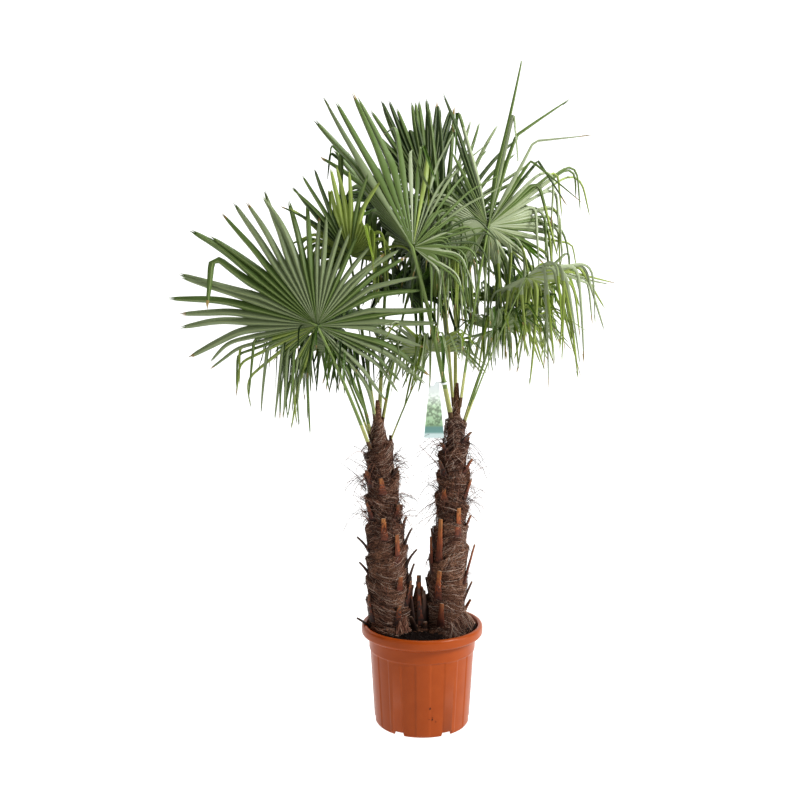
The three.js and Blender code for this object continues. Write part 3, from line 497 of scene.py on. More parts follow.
def leaf_bases(stem, bases):
    """The sawn strips: a curve through foot, middle and tip, oval across, with a flat cut end."""
    foot, azimuth, rise, stand_out, shade = np.array(bases, float).T[..., None]
    share = np.append(np.linspace(0, 1, BASE_STRIP["rows"]), 1.0)[None]
    turn = np.radians(azimuth) + 0.2 * (dice(foot, 3) - 0.5) * share
    sunk, out = -BASE_STRIP["sunk"], BASE_STRIP["lift"] + stand_out
    middle = BASE_STRIP["lift"] + 0.25 * stand_out
    away = sunk + (4 * middle - 3 * sunk - out) * share + (2 * sunk + 2 * out - 4 * middle) * share**2
    paths = on_stem(stem, foot + rise * share, turn + 0 * share, away)
    hint = np.stack([-np.sin(turn), np.cos(turn), 0 * turn], axis=-1)
    ragged = 1 + 0.16 * (dice(23 * share + foot, 4) - 0.5)
    across = BASE_STRIP["width"] / 2 * (1.7 - 1.5 * share + 0.6 * share**2) * ragged
    thick = BASE_STRIP["thickness"] / 2 * (1.2 - 0.5 * share)
    across[:, -1] = thick[:, -1] = 0.01  # the last ring closes the sawn end
    points, faces = tubes(paths, across, thick, hint, BASE_STRIP["sides"])
    # Each face takes a colour near its place up the strip and near the strip's shade, so no band shows
    row = np.arange(BASE_STRIP["rows"])[None, :, None]
    face = np.arange(BASE_STRIP["sides"])[None, None]
    chance = dice(31 * row + 7 * face + foot[..., None], 6)
    steps = len(BASE_COLOURS[0]) - 1
    place = np.floor(steps * (1 - row / BASE_STRIP["rows"]) + 0.9 * chance)
    place = np.where(row == BASE_STRIP["rows"] - 1, 0, np.clip(place, 1, steps))
    series = np.clip(np.floor(shade[..., None] + dice(5 * row + face + foot[..., None], 9)), 0, 2)
    return points, faces, ((steps + 1) * series + place).ravel()


# Matted sheath fibre: brown threads crosswise, 1.8 mm apart, over near-black gaps, with no gloss
net, tree, shader = new_material("fibre_net", Roughness=0.95, IOR=1.45, Specular_IOR_Level=0.25)
coordinates = add_node(tree, "ShaderNodeTexCoord").outputs["Object"]
flattened = add_node(tree, "ShaderNodeMapping", {"Vector": coordinates, "Scale": (1.0, 1.0, 2.6)})
weave = add_node(tree, "ShaderNodeTexNoise", {"Vector": flattened.outputs[0], "Scale": 210.0, "Detail": 6.0})
ramp = add_node(tree, "ShaderNodeValToRGB", {"Fac": weave.outputs["Fac"]})
ramp.color_ramp.elements[0].position, ramp.color_ramp.elements[0].color = 0.36, linear("2a1911")
ramp.color_ramp.elements[1].position, ramp.color_ramp.elements[1].color = 0.68, linear("9b745d")
tree.links.new(ramp.outputs[0], shader.inputs["Base Color"])
bump = add_node(tree, "ShaderNodeBump", {"Height": weave.outputs["Fac"], "Strength": 0.7, "Distance": 0.001})
tree.links.new(bump.outputs["Normal"], shader.inputs["Normal"])
# Single fibres from dark to bleached, and dry sawn wood streaked along its vessels
fibre_materials = [grained("fibre_" + colour, colour, 0.8, 0.3, 0.75, 1.2) for colour in FIBRE_COLOURS]
base_materials = [grained("leaf_base_" + colour, colour, 0.7, 0.06, 0.55, 1.2)
                  for series in BASE_COLOURS for colour in series]


def roots(stem):
    """Dry roots and torn sheath at the stem's foot: strands that cling to it and flare on to the soil."""
    chance = draws(np.arange(ROOTS)[:, None], 50)
    share = np.linspace(0, 1, 9)[None]
    azimuth = np.radians(ROOTED[0] + (ROOTED[1] - ROOTED[0]) * chance(1)) + 0.5 * (chance(2) - 0.5) * share
    height = SOIL_LEVEL + 9 + (24 + 36 * chance(3)) * (1 - share) ** 1.3
    flare = 4 + (2 + 7 * chance(4)) * share**2 + 3 * np.sin(4 * share + 6 * chance(5))
    paths = on_stem(stem, height, azimuth, flare)
    half = (0.7 + 1.2 * chance(6)) * (0.4 + 0.6 * np.sin(np.pi * (0.1 + 0.85 * share)))
    return tubes(paths, half, 0.5 * half, np.array([1.0, 0.2, 0.1]), 6)


def mat(stem):
    """Fibres combed out from the stem's foot over the mound, each on a line that bends to one side."""
    chance = draws(np.arange(MAT_FIBRES)[:, None], 60)
    share = np.linspace(0, 1, 8)[None]
    middle = along(stem["axis"], SOIL_LEVEL)
    azimuth = math.atan2(MOUNDS[0][1], MOUNDS[0][0] - middle)
    azimuth = azimuth + 1.9 * (chance(1) - 0.5) + 0.8 * (chance(2) - 0.5) * share
    away = 55 + (14 + 40 * chance(3)) * share
    x, y = middle + away * np.cos(azimuth), away * np.sin(azimuth)
    outside = np.maximum(1, np.hypot(x, y) / (SOIL_RADIUS - 3))
    x, y = x / outside, y / outside
    height = soil_height(x, y) + 0.6 + 5 * chance(4) * np.sin(np.pi * share) + 26 * (1 - share) ** 2
    half = (0.3 + 0.5 * chance(5) ** 2) * (1.05 - 0.7 * share)
    return tubes(np.stack([x, y, height], axis=-1), half, half, np.array([0.1, 0.2, 1.0]), 3)


def fibre_piece(name, count, points, faces, tones):
    """A piece of many equal tubes, each of one tone."""
    piece = add_mesh(name, points, faces)
    deal(piece, fibre_materials, np.repeat(np.floor(tones), len(faces) // count))
    return piece


def wrapped(name, stem, bases):
    """The relief of a stem and its leaf bases, as two pieces."""
    relief = add_mesh(f"bark_{name}", *bark(stem))
    relief.data.materials.append(net)
    points, faces, numbers = leaf_bases(stem, bases)
    strips = add_mesh(f"leaf_bases_{name}", points, faces)
    deal(strips, base_materials, numbers)
    return [relief, strips]


pieces = {}
for name, stem in STEMS.items():
    group = wrapped(name, stem, [*BASES[name], *back_bases(stem)])
    loose = 3 * dice(np.arange(TUFTS * TUFT), stem["seed"] + 21)
    group.append(fibre_piece(f"hairs_{name}", TUFTS * TUFT, *hairs(stem), loose))
    for part, which in enumerate(np.split(np.arange(FIBRES), 2), 1):
        laid = 5 * dice(which, stem["seed"] + 20) ** 1.3
        group.append(fibre_piece(f"fibres_{name}_{part}", len(which), *fibres(stem, which[:, None]), laid))
    pieces[name] = group
pieces["left"] += wrapped("stump", STUMP, BASES["stump"])
tones = 1.4 + 2.2 * dice(np.arange(ROOTS), 57)
pieces["left"].append(fibre_piece("dry_roots", ROOTS, *roots(STEMS["left"]), tones))
tones = 4.6 * dice(np.arange(MAT_FIBRES), 66)
pieces["right"].append(fibre_piece("fibre_mat", MAT_FIBRES, *mat(STEMS["right"]), tones))
for name, group in pieces.items():
    for piece in group:
        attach(piece, "root")
        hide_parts(f"stem_{name}")

# The leaf stalks
# Each leaf is carried on a slender green stalk, oval across, which comes out of the fibre at the top of its
# stem, arches a little and runs on under the blade: one tube along the same curve as in the solids.
# foot, tip: width and thickness. stagger: how much higher the steepest stalks start, between the angles flat
# and steep, in radians. sunk, below: how deep it starts in the fibre and how far under the blade it ends.
# slim: share of the solids' thickness. brown_rows, pale_rows: where the brown foot and the pale part end
STALK = {"foot": (20, 11), "tip": (11, 8), "taper": 0.6, "slim": 0.72, "arch": 0.06, "stagger": 95,
         "flat": 0.95, "steep": 1.45, "sunk": 3, "below": 4, "run_on": 34, "rows": 40, "end_rows": 5,
         "sides": 12, "brown_rows": 2, "pale_rows": 7}
# The leaves. hub: where the stalk meets the blade. face: azimuth and tilt of the underside's normal. lean:
# clockwise turn of the middle rib, seen from below the blade. reach: longest rib. spread: angles of the first
# and last rib. Where a list of (angle, value) pairs stands for one value, it changes across the fan. droop:
# how far the ribs hang. bend: the share of a rib where it starts to hang. run: the share over which it bends.
# fold: the blade's halves turned up about the middle. cup: the tilt of all ribs. shortening: how much shorter
# the outer ribs are. kinked: the share of leaflets that hang from a kink. pitch: degrees between them. split:
# the share of a rib over which they are joined. slim: how narrow they fold beyond it. least: their least half
# width there. tones, near and hanging: colours of upright leaflets, of the near part of hanging ones, and of
# the part that hangs. stalk: how thick it is. fringes: what differs in more leaflets on the same hub.
USUAL = {"spread": (-130, 130), "droop": 0.6, "bend": 0.35, "run": 0.42, "fold": 0, "cup": 10,
         "shortening": 0.3, "kinked": 0.09, "pitch": 6, "split": 0.48, "slim": 0.9, "least": 6.5, "stalk": 1}
# What a fringe doesn't take over from its leaf. lift, short and narrow: factors on the hang, the length and
# the width. sooner: how much earlier a leaflet bends. bare: angles where leaflets were lost. broken: angle,
# share, new direction and colour of single broken ones.
EVEN = {"lift": 1, "short": 1, "narrow": 1, "sooner": 0, "bare": [], "broken": [], "fringes": []}
LEAVES = [{**USUAL, **EVEN, **leaf} for leaf in [
    {"name": "right_1", "hub": (-32, -170, 1478), "face": (235, -15), "lean": -34, "reach": 525,
     "spread": (-110, 130), "droop": [(-32, 0.95), (-24, 0.08), (16, 0.1), (30, 0.7), (130, 0.95)],
     "bend": 0.45, "fold": 42, "cup": 5, "shortening": 0.42, "seed": 11, "tones": (1, 1, 0),
     "hanging": (1, 3, 1), "slim": 0.8, "stalk": 1.35, "lift": [(46, 1), (48, 0.3), (96, 0.3), (98, 1)],
     "narrow": [(24, 1), (27, 0.62), (46, 0.9), (48, 0.5), (130, 0.5)],
     "bare": [(26, 31), (55, 59), (67, 76), (85, 94)],
     "broken": [(31, 0.6, (0.3, -0.4, -1), 4), (37, 0.62, (0.18, -0.5, -1), 1),
                (43, 0.58, (0.1, -0.45, -1), 2)],
     "fringes": [{"spread": (20, 170), "droop": 0.95, "bend": 0.25, "reach": 520, "seed": 12, "pitch": 4,
                  "split": 0.2, "least": 5, "hanging": (1, 1, 4),
                  "bare": [(20, 60), (70, 77), (90, 99), (110, 119)]}]},
    {"name": "left_1", "hub": (-313, -130, 1252), "face": (262, -14), "lean": -62, "reach": 495,
     "spread": (-98, 170), "droop": [(-98, 0.95), (-36, 0.6), (-18, 0.1), (100, 0.1), (170, 0.5)],
     "bend": 0.5, "shortening": 0.42, "seed": 3, "tones": (0, 0, 1), "slim": 1, "stalk": 1.3, "run": 0.34,
     "lift": [(-50, 1), (-46, 0.45), (-18, 0.6), (-14, 1)], "narrow": [(-98, 0.5), (-43, 0.58), (-36, 1)],
     "sooner": [(-98, 0.25), (-60, 0.18), (-48, 0.08), (-44, 0)],
     "bare": [(-98, -91), (-77, -74), (102, 170)],
     "fringes": [{"spread": (102, 180), "droop": 0.12, "reach": 500, "shortening": 0.28, "seed": 41,
                  "bare": [(128, 134), (162, 167)]},
                 {"spread": (-180, -144), "droop": 0.35, "reach": 470, "shortening": 0.3, "seed": 42,
                  "narrow": 0.8, "bare": [(-166, -160)]},
                 {"spread": (-104, -40), "droop": 0.95, "bend": 0.46, "reach": 450, "shortening": 0.2,
                  "seed": 43, "pitch": 4, "split": 0.3, "least": 6, "bare": [(-84, -76), (-62, -57)],
                  "hanging": (1, 2, 1), "tones": (1, 1, 0)}]},
    {"name": "right_4", "hub": (192, -60, 1546), "face": (290, -20), "lean": 8, "reach": 485,
     "spread": (-65, 151), "droop": [(-65, 0.05), (-30, 0.05), (-28, 0.9), (-6, 0.9), (-4, 0.03), (17, 0.05),
                                     (20, 0.5), (45, 0.8), (60, 0.95), (151, 0.95)],
     "bend": 0.5, "seed": 23, "tones": (1, 3, 1), "hanging": (1, 2, 4), "near": (4, 1, 4), "pitch": 4,
     "split": 0.26, "slim": 0.8, "least": 8.5,
     "short": [(-65, 0.5), (-40, 0.55), (-28, 1), (-6, 1), (-4, 1.12), (1, 1.12), (3, 1)],
     "narrow": [(22, 1), (26, 0.9), (75, 0.9), (80, 1)],
     "bare": [(-26, -4), (8, 18), (32, 36), (56, 60), (88, 95), (102, 112), (120, 133)],
     "broken": [(-3, 0.3, (0.27, -0.1, 1), 1), (5, 0.55, (0.75, -0.1, 0.62), 1),
                (20, 0.6, (1, -0.1, 0.02), 4), (25, 0.5, (0.8, -0.1, -0.65), 1),
                (29, 0.55, (0.6, -0.1, -0.8), 3)],
     "fringes": [{"spread": (-175, -65), "droop": 0.95, "bend": 0.3, "reach": 440, "seed": 24, "least": 6.5,
                  "tones": (1, 4, 2)},
                 {"spread": (95, 165), "droop": 0.95, "bend": 0.18, "reach": 640, "seed": 27, "pitch": 6,
                  "split": 0.12, "least": 5, "hanging": (1, 4, 2)},
                 {"spread": (44, 98), "droop": 0.93, "bend": 0.42, "reach": 560, "seed": 29, "pitch": 6,
                  "split": 0.2, "bare": [(58, 64)], "least": 6.5, "hanging": (2, 4, 1)}]},
    {"name": "right_3", "hub": (51, -20, 1507), "face": (275, -5), "lean": 12, "reach": 425,
     "spread": (-24, 84), "droop": [(-24, 0.06), (30, 0.1), (84, 0.7)], "bend": 0.55, "seed": 5,
     "tones": (1, 3, 0), "hanging": (1, 2, 1), "slim": 0.75, "split": 0.4,
     "short": [(-14, 1.08), (-6, 1.12), (0, 1)],
     "fringes": [{"spread": (84, 180), "droop": 0.95, "bend": 0.3, "reach": 480, "seed": 15, "pitch": 4,
                  "split": 0.25, "tones": (1, 2, 4), "hanging": (1, 2, 4)}]},
    {"name": "right_2", "hub": (23, 60, 1618), "face": (270, -5), "lean": -13, "reach": 350,
     "spread": (-30, 30), "droop": 0.04, "seed": 8, "tones": (3, 3, 1), "pitch": 3, "slim": 1, "least": 9},
    {"name": "left_3", "hub": (-217, -90, 1455), "face": (265, -42), "lean": -15, "reach": 290,
     "droop": [(-130, 0.95), (-45, 0.7), (-30, 0.08), (30, 0.08), (45, 0.8), (130, 0.95)], "seed": 6,
     "tones": (1, 2, 3), "hanging": (2, 1, 2)},
    {"name": "right_5", "hub": (300, -120, 1395), "face": (300, -62), "lean": 82, "reach": 455,
     "spread": (-135, 140), "droop": 0.95, "bend": 0.28, "seed": 9, "tones": (2, 4, 2),
     "hanging": (2, 4, 2), "near": (4, 4, 2), "pitch": 4, "split": 0.28, "slim": 0.8, "least": 7.5,
     "stalk": 0.6, "run": 0.4, "kinked": 0, "lift": [(5, 1), (8, 0.25), (19, 0.25), (22, 1)],
     "sooner": [(-30, 0.16), (-8, 0.1), (-4, -0.08), (4, -0.08), (22, -0.05), (40, 0), (60, 0), (70, 0.1)],
     "short": [(5, 1), (8, 0.8), (19, 0.8), (22, 1), (60, 1), (70, 0.7)],
     "bare": [(-135, -62), (-52, -46), (-38, -32), (-22, -11), (66, 72), (84, 92), (104, 140)],
     "fringes": [{"spread": (20, 68), "droop": 0.9, "bend": 0.5, "reach": 520, "seed": 10, "pitch": 6,
                  "split": 0.25, "least": 6.5, "lift": 0.9}]},
    {"name": "left_2", "hub": (-270, 20, 1173), "face": (250, -72), "lean": -45, "reach": 350,
     "spread": (-140, 140), "droop": 0.8, "bend": 0.3, "seed": 14, "tones": (0, 3, 1), "pitch": 4,
     "split": 0.35, "slim": 0.8},
    {"name": "left_5", "hub": (22, 20, 1168), "face": (270, -68), "lean": -30, "reach": 300,
     "spread": (-140, 140), "seed": 4, "tones": (1, 4, 2), "pitch": 4, "split": 0.3, "slim": 0.8,
     "stalk": 0.7},
    {"name": "right_6", "hub": (231, 60, 1236), "face": (290, -66), "lean": 60, "reach": 310,
     "spread": (-140, 140), "seed": 17, "tones": (1, 2, 4), "near": (1, 1, 4), "pitch": 4, "split": 0.3,
     "slim": 0.8, "stalk": 0.65},
    {"name": "left_4", "hub": (-102, 140, 1632), "face": (105, -35), "lean": 25, "reach": 340,
     "spread": (-130, 120), "droop": 0.95, "bend": 0.22, "seed": 19, "tones": (3, 3, 1)},
    {"name": "left_6", "hub": (-44, 90, 1350), "face": (70, -50), "lean": -25, "reach": 320, "seed": 26,
     "tones": (1, 3, 3)},
    {"name": "right_7", "hub": (109, 220, 1490), "face": (88, -35), "lean": 8, "reach": 430,
     "spread": (-125, 125), "droop": 0.5, "bend": 0.4, "seed": 28, "tones": (0, 1, 3)},
    {"name": "right_8", "hub": (275, 180, 1320), "face": (45, -58), "lean": -30, "reach": 350,
     "droop": 0.7, "seed": 33, "tones": (1, 2, 0), "stalk": 0.7},
    {"name": "left_7", "hub": (-255, 230, 1232), "face": (125, -60), "lean": 35, "reach": 380, "seed": 37,
     "tones": (0, 1, 3)},
]]
PALE_STALKS = ("right_2", "right_3", "right_7")  # pale over their whole length
UP = np.array([0.0, 0.0, 1.0])


def stalk_curve(leaf):
    """Foot, bow and hub of the stalk's quadratic curve; the steeper, younger leaves start higher up."""
    stem = STEMS[leaf["name"].split("_")[0]]
    hub = np.array(leaf["hub"], float)
    sheath = stem["sheath_foot"]
    away = hub - (along(stem["axis"], sheath), 0, sheath)
    steepness = math.atan2(away[2], math.hypot(away[0], away[1]))
    height = sheath + STALK["stagger"] * smoothstep(steepness, STALK["flat"], STALK["steep"])
    foot = on_stem(stem, height, math.atan2(away[1], away[0]), -STALK["sunk"])
    bow = (foot + hub) / 2 + UP * STALK["arch"] * np.linalg.norm(hub - foot)
    return foot, bow, hub


def on_curve(curve, share):
    """A point of a quadratic curve at a share of its way."""
    share = np.asarray(share)[..., None]
    return (1 - share) ** 2 * curve[0] + 2 * share * (1 - share) * curve[1] + share**2 * curve[2]


def fan_axes(leaf):
    """The fan's own directions: under its blade, along its middle rib and across it."""
    azimuth, tilt = np.radians(leaf["face"])
    level = math.cos(tilt)
    under = np.array([level * math.cos(azimuth), level * math.sin(azimuth), math.sin(tilt)])
    rise = unit(UP - under * under[2])
    right = np.cross(rise, under)
    lean = math.radians(leaf["lean"])
    middle = rise * math.cos(lean) + right * math.sin(lean)
    across = right * math.cos(lean) - rise * math.sin(lean)
    return under, middle, across


# Smooth living skin with faint streaks 32 mm long, and the dry brown foot with stronger ones
green = grained("stalk_green", "74874a", 0.4, 0.06, 0.85, 1.15)
pale = grained("stalk_pale", "a8ab6c", 0.4, 0.06, 0.85, 1.15)
brown = grained("stalk_foot", "5d4630", 0.8, 0.06, 0.7, 1.3)

for leaf in LEAVES:
    curve = stalk_curve(leaf)
    under, middle, across = fan_axes(leaf)
    share = np.linspace(0, 1, STALK["rows"])
    run_on = np.linspace(0, 1, STALK["end_rows"] + 1)[1:, None]
    path = np.vstack([on_curve(curve, share) + under * STALK["below"] * share[:, None] ** 6,
                      curve[2] + middle * STALK["run_on"] * run_on + under * (STALK["below"] - 1.5 * run_on)])
    share = np.append(share, np.ones(STALK["end_rows"]))[:, None]
    shrink = np.append(np.ones(STALK["rows"]), np.linspace(0.85, 0.02, STALK["end_rows"]))
    foot, tip = np.array(STALK["foot"]), np.array(STALK["tip"])
    size = (foot + (tip - foot) * share ** STALK["taper"]) * STALK["slim"] * leaf["stalk"]
    width, thick = (size / 2).T * shrink
    back = np.cross(UP, unit((curve[2] - curve[0]) * (1, 1, 0)))
    points, faces = tubes(path[None], width[None], thick[None], back, STALK["sides"])
    stalk = add_mesh("petiole_" + leaf["name"], points, faces)
    row = np.arange(len(path) - 1)
    pale_rows = len(path) if leaf["name"] in PALE_STALKS else STALK["pale_rows"]
    number = np.where(row < STALK["brown_rows"], 2, row < pale_rows)
    deal(stalk, [green, pale, brown], np.repeat(number, STALK["sides"]))
    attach(stalk, "root")
    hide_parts("stalk_" + leaf["name"])

# The fans
# Each blade is a pleated fan of long leathery leaflets, joined near the hub and free beyond, with split tips:
# glossy green above, and grey-green with a pale rib below. A leaflet is a thin closed strip, V-shaped across,
# on a rib that leaves the hub in the fan and bends over to hang.
SOLID_PITCH = 12  # degrees between the pleats of the solids
SOLID_RUN = 0.42  # share of a rib over which the solids bend
SOLID_STEPS = 24  # steps along their ribs
REACHES = np.array([1, 0.9, 0.8, 0.7, 0.6, 0.5, 0.4, 0.3, 0.22, 0.14])  # shares that a rib may be cut to
NEAR_CORNER = 1.5  # how far a rib's point may be from a corner of the solid
STEPS = 72  # steps along the leaflets' ribs
JOINED_ROWS = 8
FREE_ROWS = 20
LEAST_REACH = 0.9  # thin leaflets pass each other where the pleats of the solids were shortened
ACROSS = np.array([-1, -0.52, -0.07, 0.07, 0.52, 1])  # the strip's points across, as shares of its half width
# Width of the free leaflet, and depth of its V as a share of the width, by the share of the free length
WIDTHS = [(0, 1), (0.23, 0.93), (0.6, 0.82), (0.85, 0.6), (0.96, 0.36), (1, 0.16)]
PLEAT = [(0, 0.6), (0.5, 0.5), (1, 0.3)]
BLADE = 0.7  # thickness
TIP_NOTCH = 0.94  # where the tip splits in two
ROLL = 56  # degrees over which the free leaflets twist
SWAY = 0.15  # how far their tips stray, as a share of their length
SPLAY = 0.22  # how far hanging leaflets lean off the plumb line
MOST_HANG = 0.97  # 1 is straight down
DRY_SHARE, DRY_ROWS = 0.3, 2  # share of the leaflets with a dry tip, and its rows
# The deep green is painted shade: it darkens the leaflets it is dealt to, as if they lay in shade inside the
# crown. The pale is a painted highlight: it stands for the sheen of light on glossy leaflets, near the hubs of
# some fans.
LEAF_TONES = [  # upper side and underside: grey-green, green, yellow-green, deep green and pale
    ("6b8041", "87946e"), ("4f6b27", "657a42"), ("7d9236", "96a755"), ("2c4214", "435530"),
    ("8a9a6a", "a3ae8c"),
]
RIB_COLOUR = "949e68"
DRY_COLOUR = "9c8656"
VEINS_PER_MM = 0.7  # the real ones are closer, too fine to show
GLOW = "7d8f22"  # what daylight turns to on its way through a leaf


def by_angle(value, angle):
    """A leaf's value at each angle: one number, or a line through (angle, value) pairs."""
    return along(value, angle) if isinstance(value, list) else value + 0 * angle


def ribs(leaf, pitch, steps, loose=0):
    """Every rib of a fan as its angle, bin, length and hang, and arrays of places, sides and undersides.
    loose is 0 for the solids' own ribs and 1 for leaflets that vary within their pleat. A rib starts in the
    fan and walks on in equal steps, while its way turns by the hang from that start to straight down."""
    first, last = leaf["spread"]
    count = round((last - first) / SOLID_PITCH) * round(SOLID_PITCH / pitch)
    own = np.arange(count) + 0.5
    angle = first + own * (last - first) / count
    bins = np.floor(np.arange(count) * pitch / SOLID_PITCH + 1e-6)
    chance, shared = draws(own, leaf["seed"]), draws(bins, leaf["seed"])
    under, middle, across = fan_axes(leaf)
    a, cup, fold = np.radians(angle)[:, None], math.radians(leaf["cup"]), math.radians(leaf["fold"])
    outward = across * np.sign(a) * math.cos(fold) - under * math.sin(fold)
    start = unit((middle * np.cos(a) + outward * np.abs(np.sin(a))) * math.cos(cup) - under * math.sin(cup))
    shorter = leaf["shortening"] * (1 - np.exp(-((angle / 60) ** 2)))
    length = leaf["reach"] * (1 - shorter) * (0.93 + 0.14 * shared(0))
    hang = np.minimum(MOST_HANG, by_angle(leaf["droop"], angle) * (0.8 + 0.4 * shared(7)))
    bend = leaf["bend"] + 0.2 * (shared(3) - 0.5)
    varied = hang * (1 + loose * 0.4 * (chance(0) - 0.4)) + loose * 0.12 * dice(own, 2)
    hang = np.minimum(MOST_HANG, varied) * by_angle(leaf["lift"], angle)
    bend = bend + loose * (0.22 * (chance(1) - 0.5) - by_angle(leaf["sooner"], angle))
    kinked = loose * chance(2) > 1 - leaf["kinked"]
    hang, bend = np.where(kinked, 0.93, hang), np.where(kinked, 0.5 + 0.25 * dice(own, 4), bend)
    run = leaf["run"] if loose else SOLID_RUN
    ease = np.where(kinked, 0.08, run - loose * 0.28 * chance(5))
    lean = SPLAY * loose * (np.stack([dice(own, 7), dice(own, 8), 0.5 + 0 * own], axis=-1) - 0.5)
    toward = unit(lean - UP)
    for broken, place, direction, _ in leaf["broken"] * loose:
        i = np.argmin(np.abs(angle - broken))
        hang[i], bend[i], ease[i], toward[i] = 1, place, 0.04, unit(np.array(direction, float))
    way, at = start, np.repeat([leaf["hub"]], count, axis=0).astype(float)
    side = unit(np.cross(way, under))
    places, sides = [], []
    for k in range(steps + 1):
        places.append(at)
        sides.append(side)
        at = at + way * (length / steps)[:, None]
        turned = (hang * smoothstep((k + 1) / steps, bend, bend + ease))[:, None]
        way = unit(start * (1 - turned) + toward * turned)
        side = unit(side - np.sum(side * way, axis=-1, keepdims=True) * way)
    places, sides = np.stack(places, axis=1), np.stack(sides, axis=1)
    unders = np.cross(sides, unit(np.gradient(places, axis=1)))
    return angle, bins.astype(int), length, hang, places, sides, unders


def at_share(values, share):
    """Each rib's values at its own shares of the way, interpolated between the steps."""
    steps = values.shape[1] - 1
    x = np.clip(share, 0, 0.9999) * steps
    low = np.floor(x).astype(int)
    row = np.arange(len(values))[:, None]
    return values[row, low] + (values[row, low + 1] - values[row, low]) * (x - low)[..., None]


def solid_reaches(leaf):
    """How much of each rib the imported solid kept: the largest share whose point is a corner of the solid, or
    the whole rib where the lift took it off the solid."""
    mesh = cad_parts["fan_" + leaf["name"]].data
    corners = np.empty(3 * len(mesh.vertices))
    mesh.vertices.foreach_get("co", corners)
    corners = corners.reshape(-1, 3) * 1000
    places = ribs(leaf, SOLID_PITCH, SOLID_STEPS)[4]
    tips = at_share(places, np.repeat(REACHES[None], len(places), axis=0))
    nearest = np.linalg.norm(tips[:, :, None] - corners[None, None], axis=-1).min(axis=-1)
    return REACHES[np.argmax(nearest < NEAR_CORNER, axis=1)]


def fan(leaf, solid_reach):
    """Points, faces, each face's material number and each point's offset from its rib, of a whole fan. A
    leaflet is a closed strip: at each share of its rib it has a width, and across it a V whose depth goes
    towards the underside."""
    pitch, split = leaf["pitch"], leaf["split"]
    angle, bins, *parts = ribs(leaf, pitch, STEPS, loose=1)
    kept = ~np.any([(angle > first) & (angle < last) for first, last in [(0, 0), *leaf["bare"]]], axis=0)
    angle, bins, length, hang, places, sides, unders = (values[kept] for values in (angle, bins, *parts))
    fine = np.arange(len(angle))
    chance = draws(fine, leaf["seed"])
    reach = np.maximum(solid_reach[bins], LEAST_REACH) * (0.93 + 0.07 * chance(20))
    reach = reach * by_angle(leaf["short"], angle)
    joined = np.linspace(0.02, split, JOINED_ROWS, endpoint=False)
    share = np.concatenate([joined, np.linspace(split, 1, FREE_ROWS)])
    free = np.clip((share - split) / (1 - split), 0, 1)
    widest = np.maximum(split * length * reach * math.tan(math.radians(0.55 * pitch)), leaf["least"])
    widest = (widest * by_angle(leaf["narrow"], angle))[:, None, None]
    # The middle of the strip stops at the notch while its two halves run on to the tip
    central = np.abs(ACROSS) < 0.1
    own = np.where(central, np.minimum(share, TIP_NOTCH)[:, None], share[:, None])
    slim = 1 - (1 - leaf["slim"]) * smoothstep(free, 0, 0.4)
    width = np.where(share < split, share / split, along(WIDTHS, free) * slim)[:, None]
    half = width * (1 - 0.35 * hang[:, None, None] * free[:, None]) * widest
    tip = smoothstep(share, TIP_NOTCH, 1)[:, None]
    lateral = half * ACROSS * (1 - tip) + np.sign(ACROSS) * ~central * 0.2 * widest * tip
    depth = 2 * half * along(PLEAT, free)[:, None] * (1 - np.abs(ACROSS)) ** 0.9
    where = (own[None] * reach[:, None, None]).reshape(len(angle), -1)
    grid = (len(angle), len(share), len(ACROSS), 3)
    at, side, down = (at_share(values, where).reshape(grid) for values in (places, sides, unders))
    stray = SWAY * (length * reach)[:, None, None, None] * free[:, None, None] ** 1.6
    sideways, deeper, turn = ((chance(k) - 0.5)[:, None, None, None] for k in (25, 26, 27))
    at = at + side * stray * sideways + down * stray * deeper * 0.4
    roll = math.radians(ROLL) * turn * free[:, None, None] ** 0.7
    side, down = side * np.cos(roll) + down * np.sin(roll), down * np.cos(roll) - side * np.sin(roll)
    top = at + side * lateral[..., None] + down * (depth - BLADE / 2)[..., None]
    low = top + down * BLADE * (1 - 0.5 * share[:, None, None])
    loop = np.concatenate([top, low[:, :, ::-1]], axis=2)
    columns = loop.shape[2]
    faces = grid_faces(len(share), columns)[:, ::-1] + (fine * len(share) * columns)[:, None, None]
    column = np.tile(np.arange(columns), len(share) - 1)[None]
    row = np.repeat(np.arange(len(share) - 1), columns)[None]
    # Each leaflet takes one of its leaf's tones at random. Where that tone is the deep green it carries
    # painted shade, and where it is the pale it carries a painted highlight.
    choice = np.floor(3 * chance(21)).astype(int)
    hanging = leaf.get("hanging", leaf["tones"])
    colours = np.array([leaf["tones"], leaf.get("near", hanging), hanging])[:, choice, None]
    tone = np.where(share[row] > leaf["bend"] + 0.1, colours[2], colours[1])
    tone = np.where(hang[:, None] > 0.5, tone, colours[0])
    for broken, _, _, colour in leaf["broken"]:
        tone[np.argmin(np.abs(angle - broken))] = colour
    rib_column = len(ACROSS) * 3 // 2 - 1
    number = 2 * tone + (column >= len(ACROSS) - 1)
    number = np.where(column == rib_column, 2 * len(LEAF_TONES), number)
    dry = (row >= len(share) - 1 - DRY_ROWS) & (chance(28)[:, None] < DRY_SHARE)
    number = np.where(dry, 2 * len(LEAF_TONES) + 1, number)
    offset = np.concatenate([lateral, lateral[:, :, ::-1]], axis=2)
    return loop.reshape(-1, 3), faces.reshape(-1, 4), number.ravel(), offset.ravel()


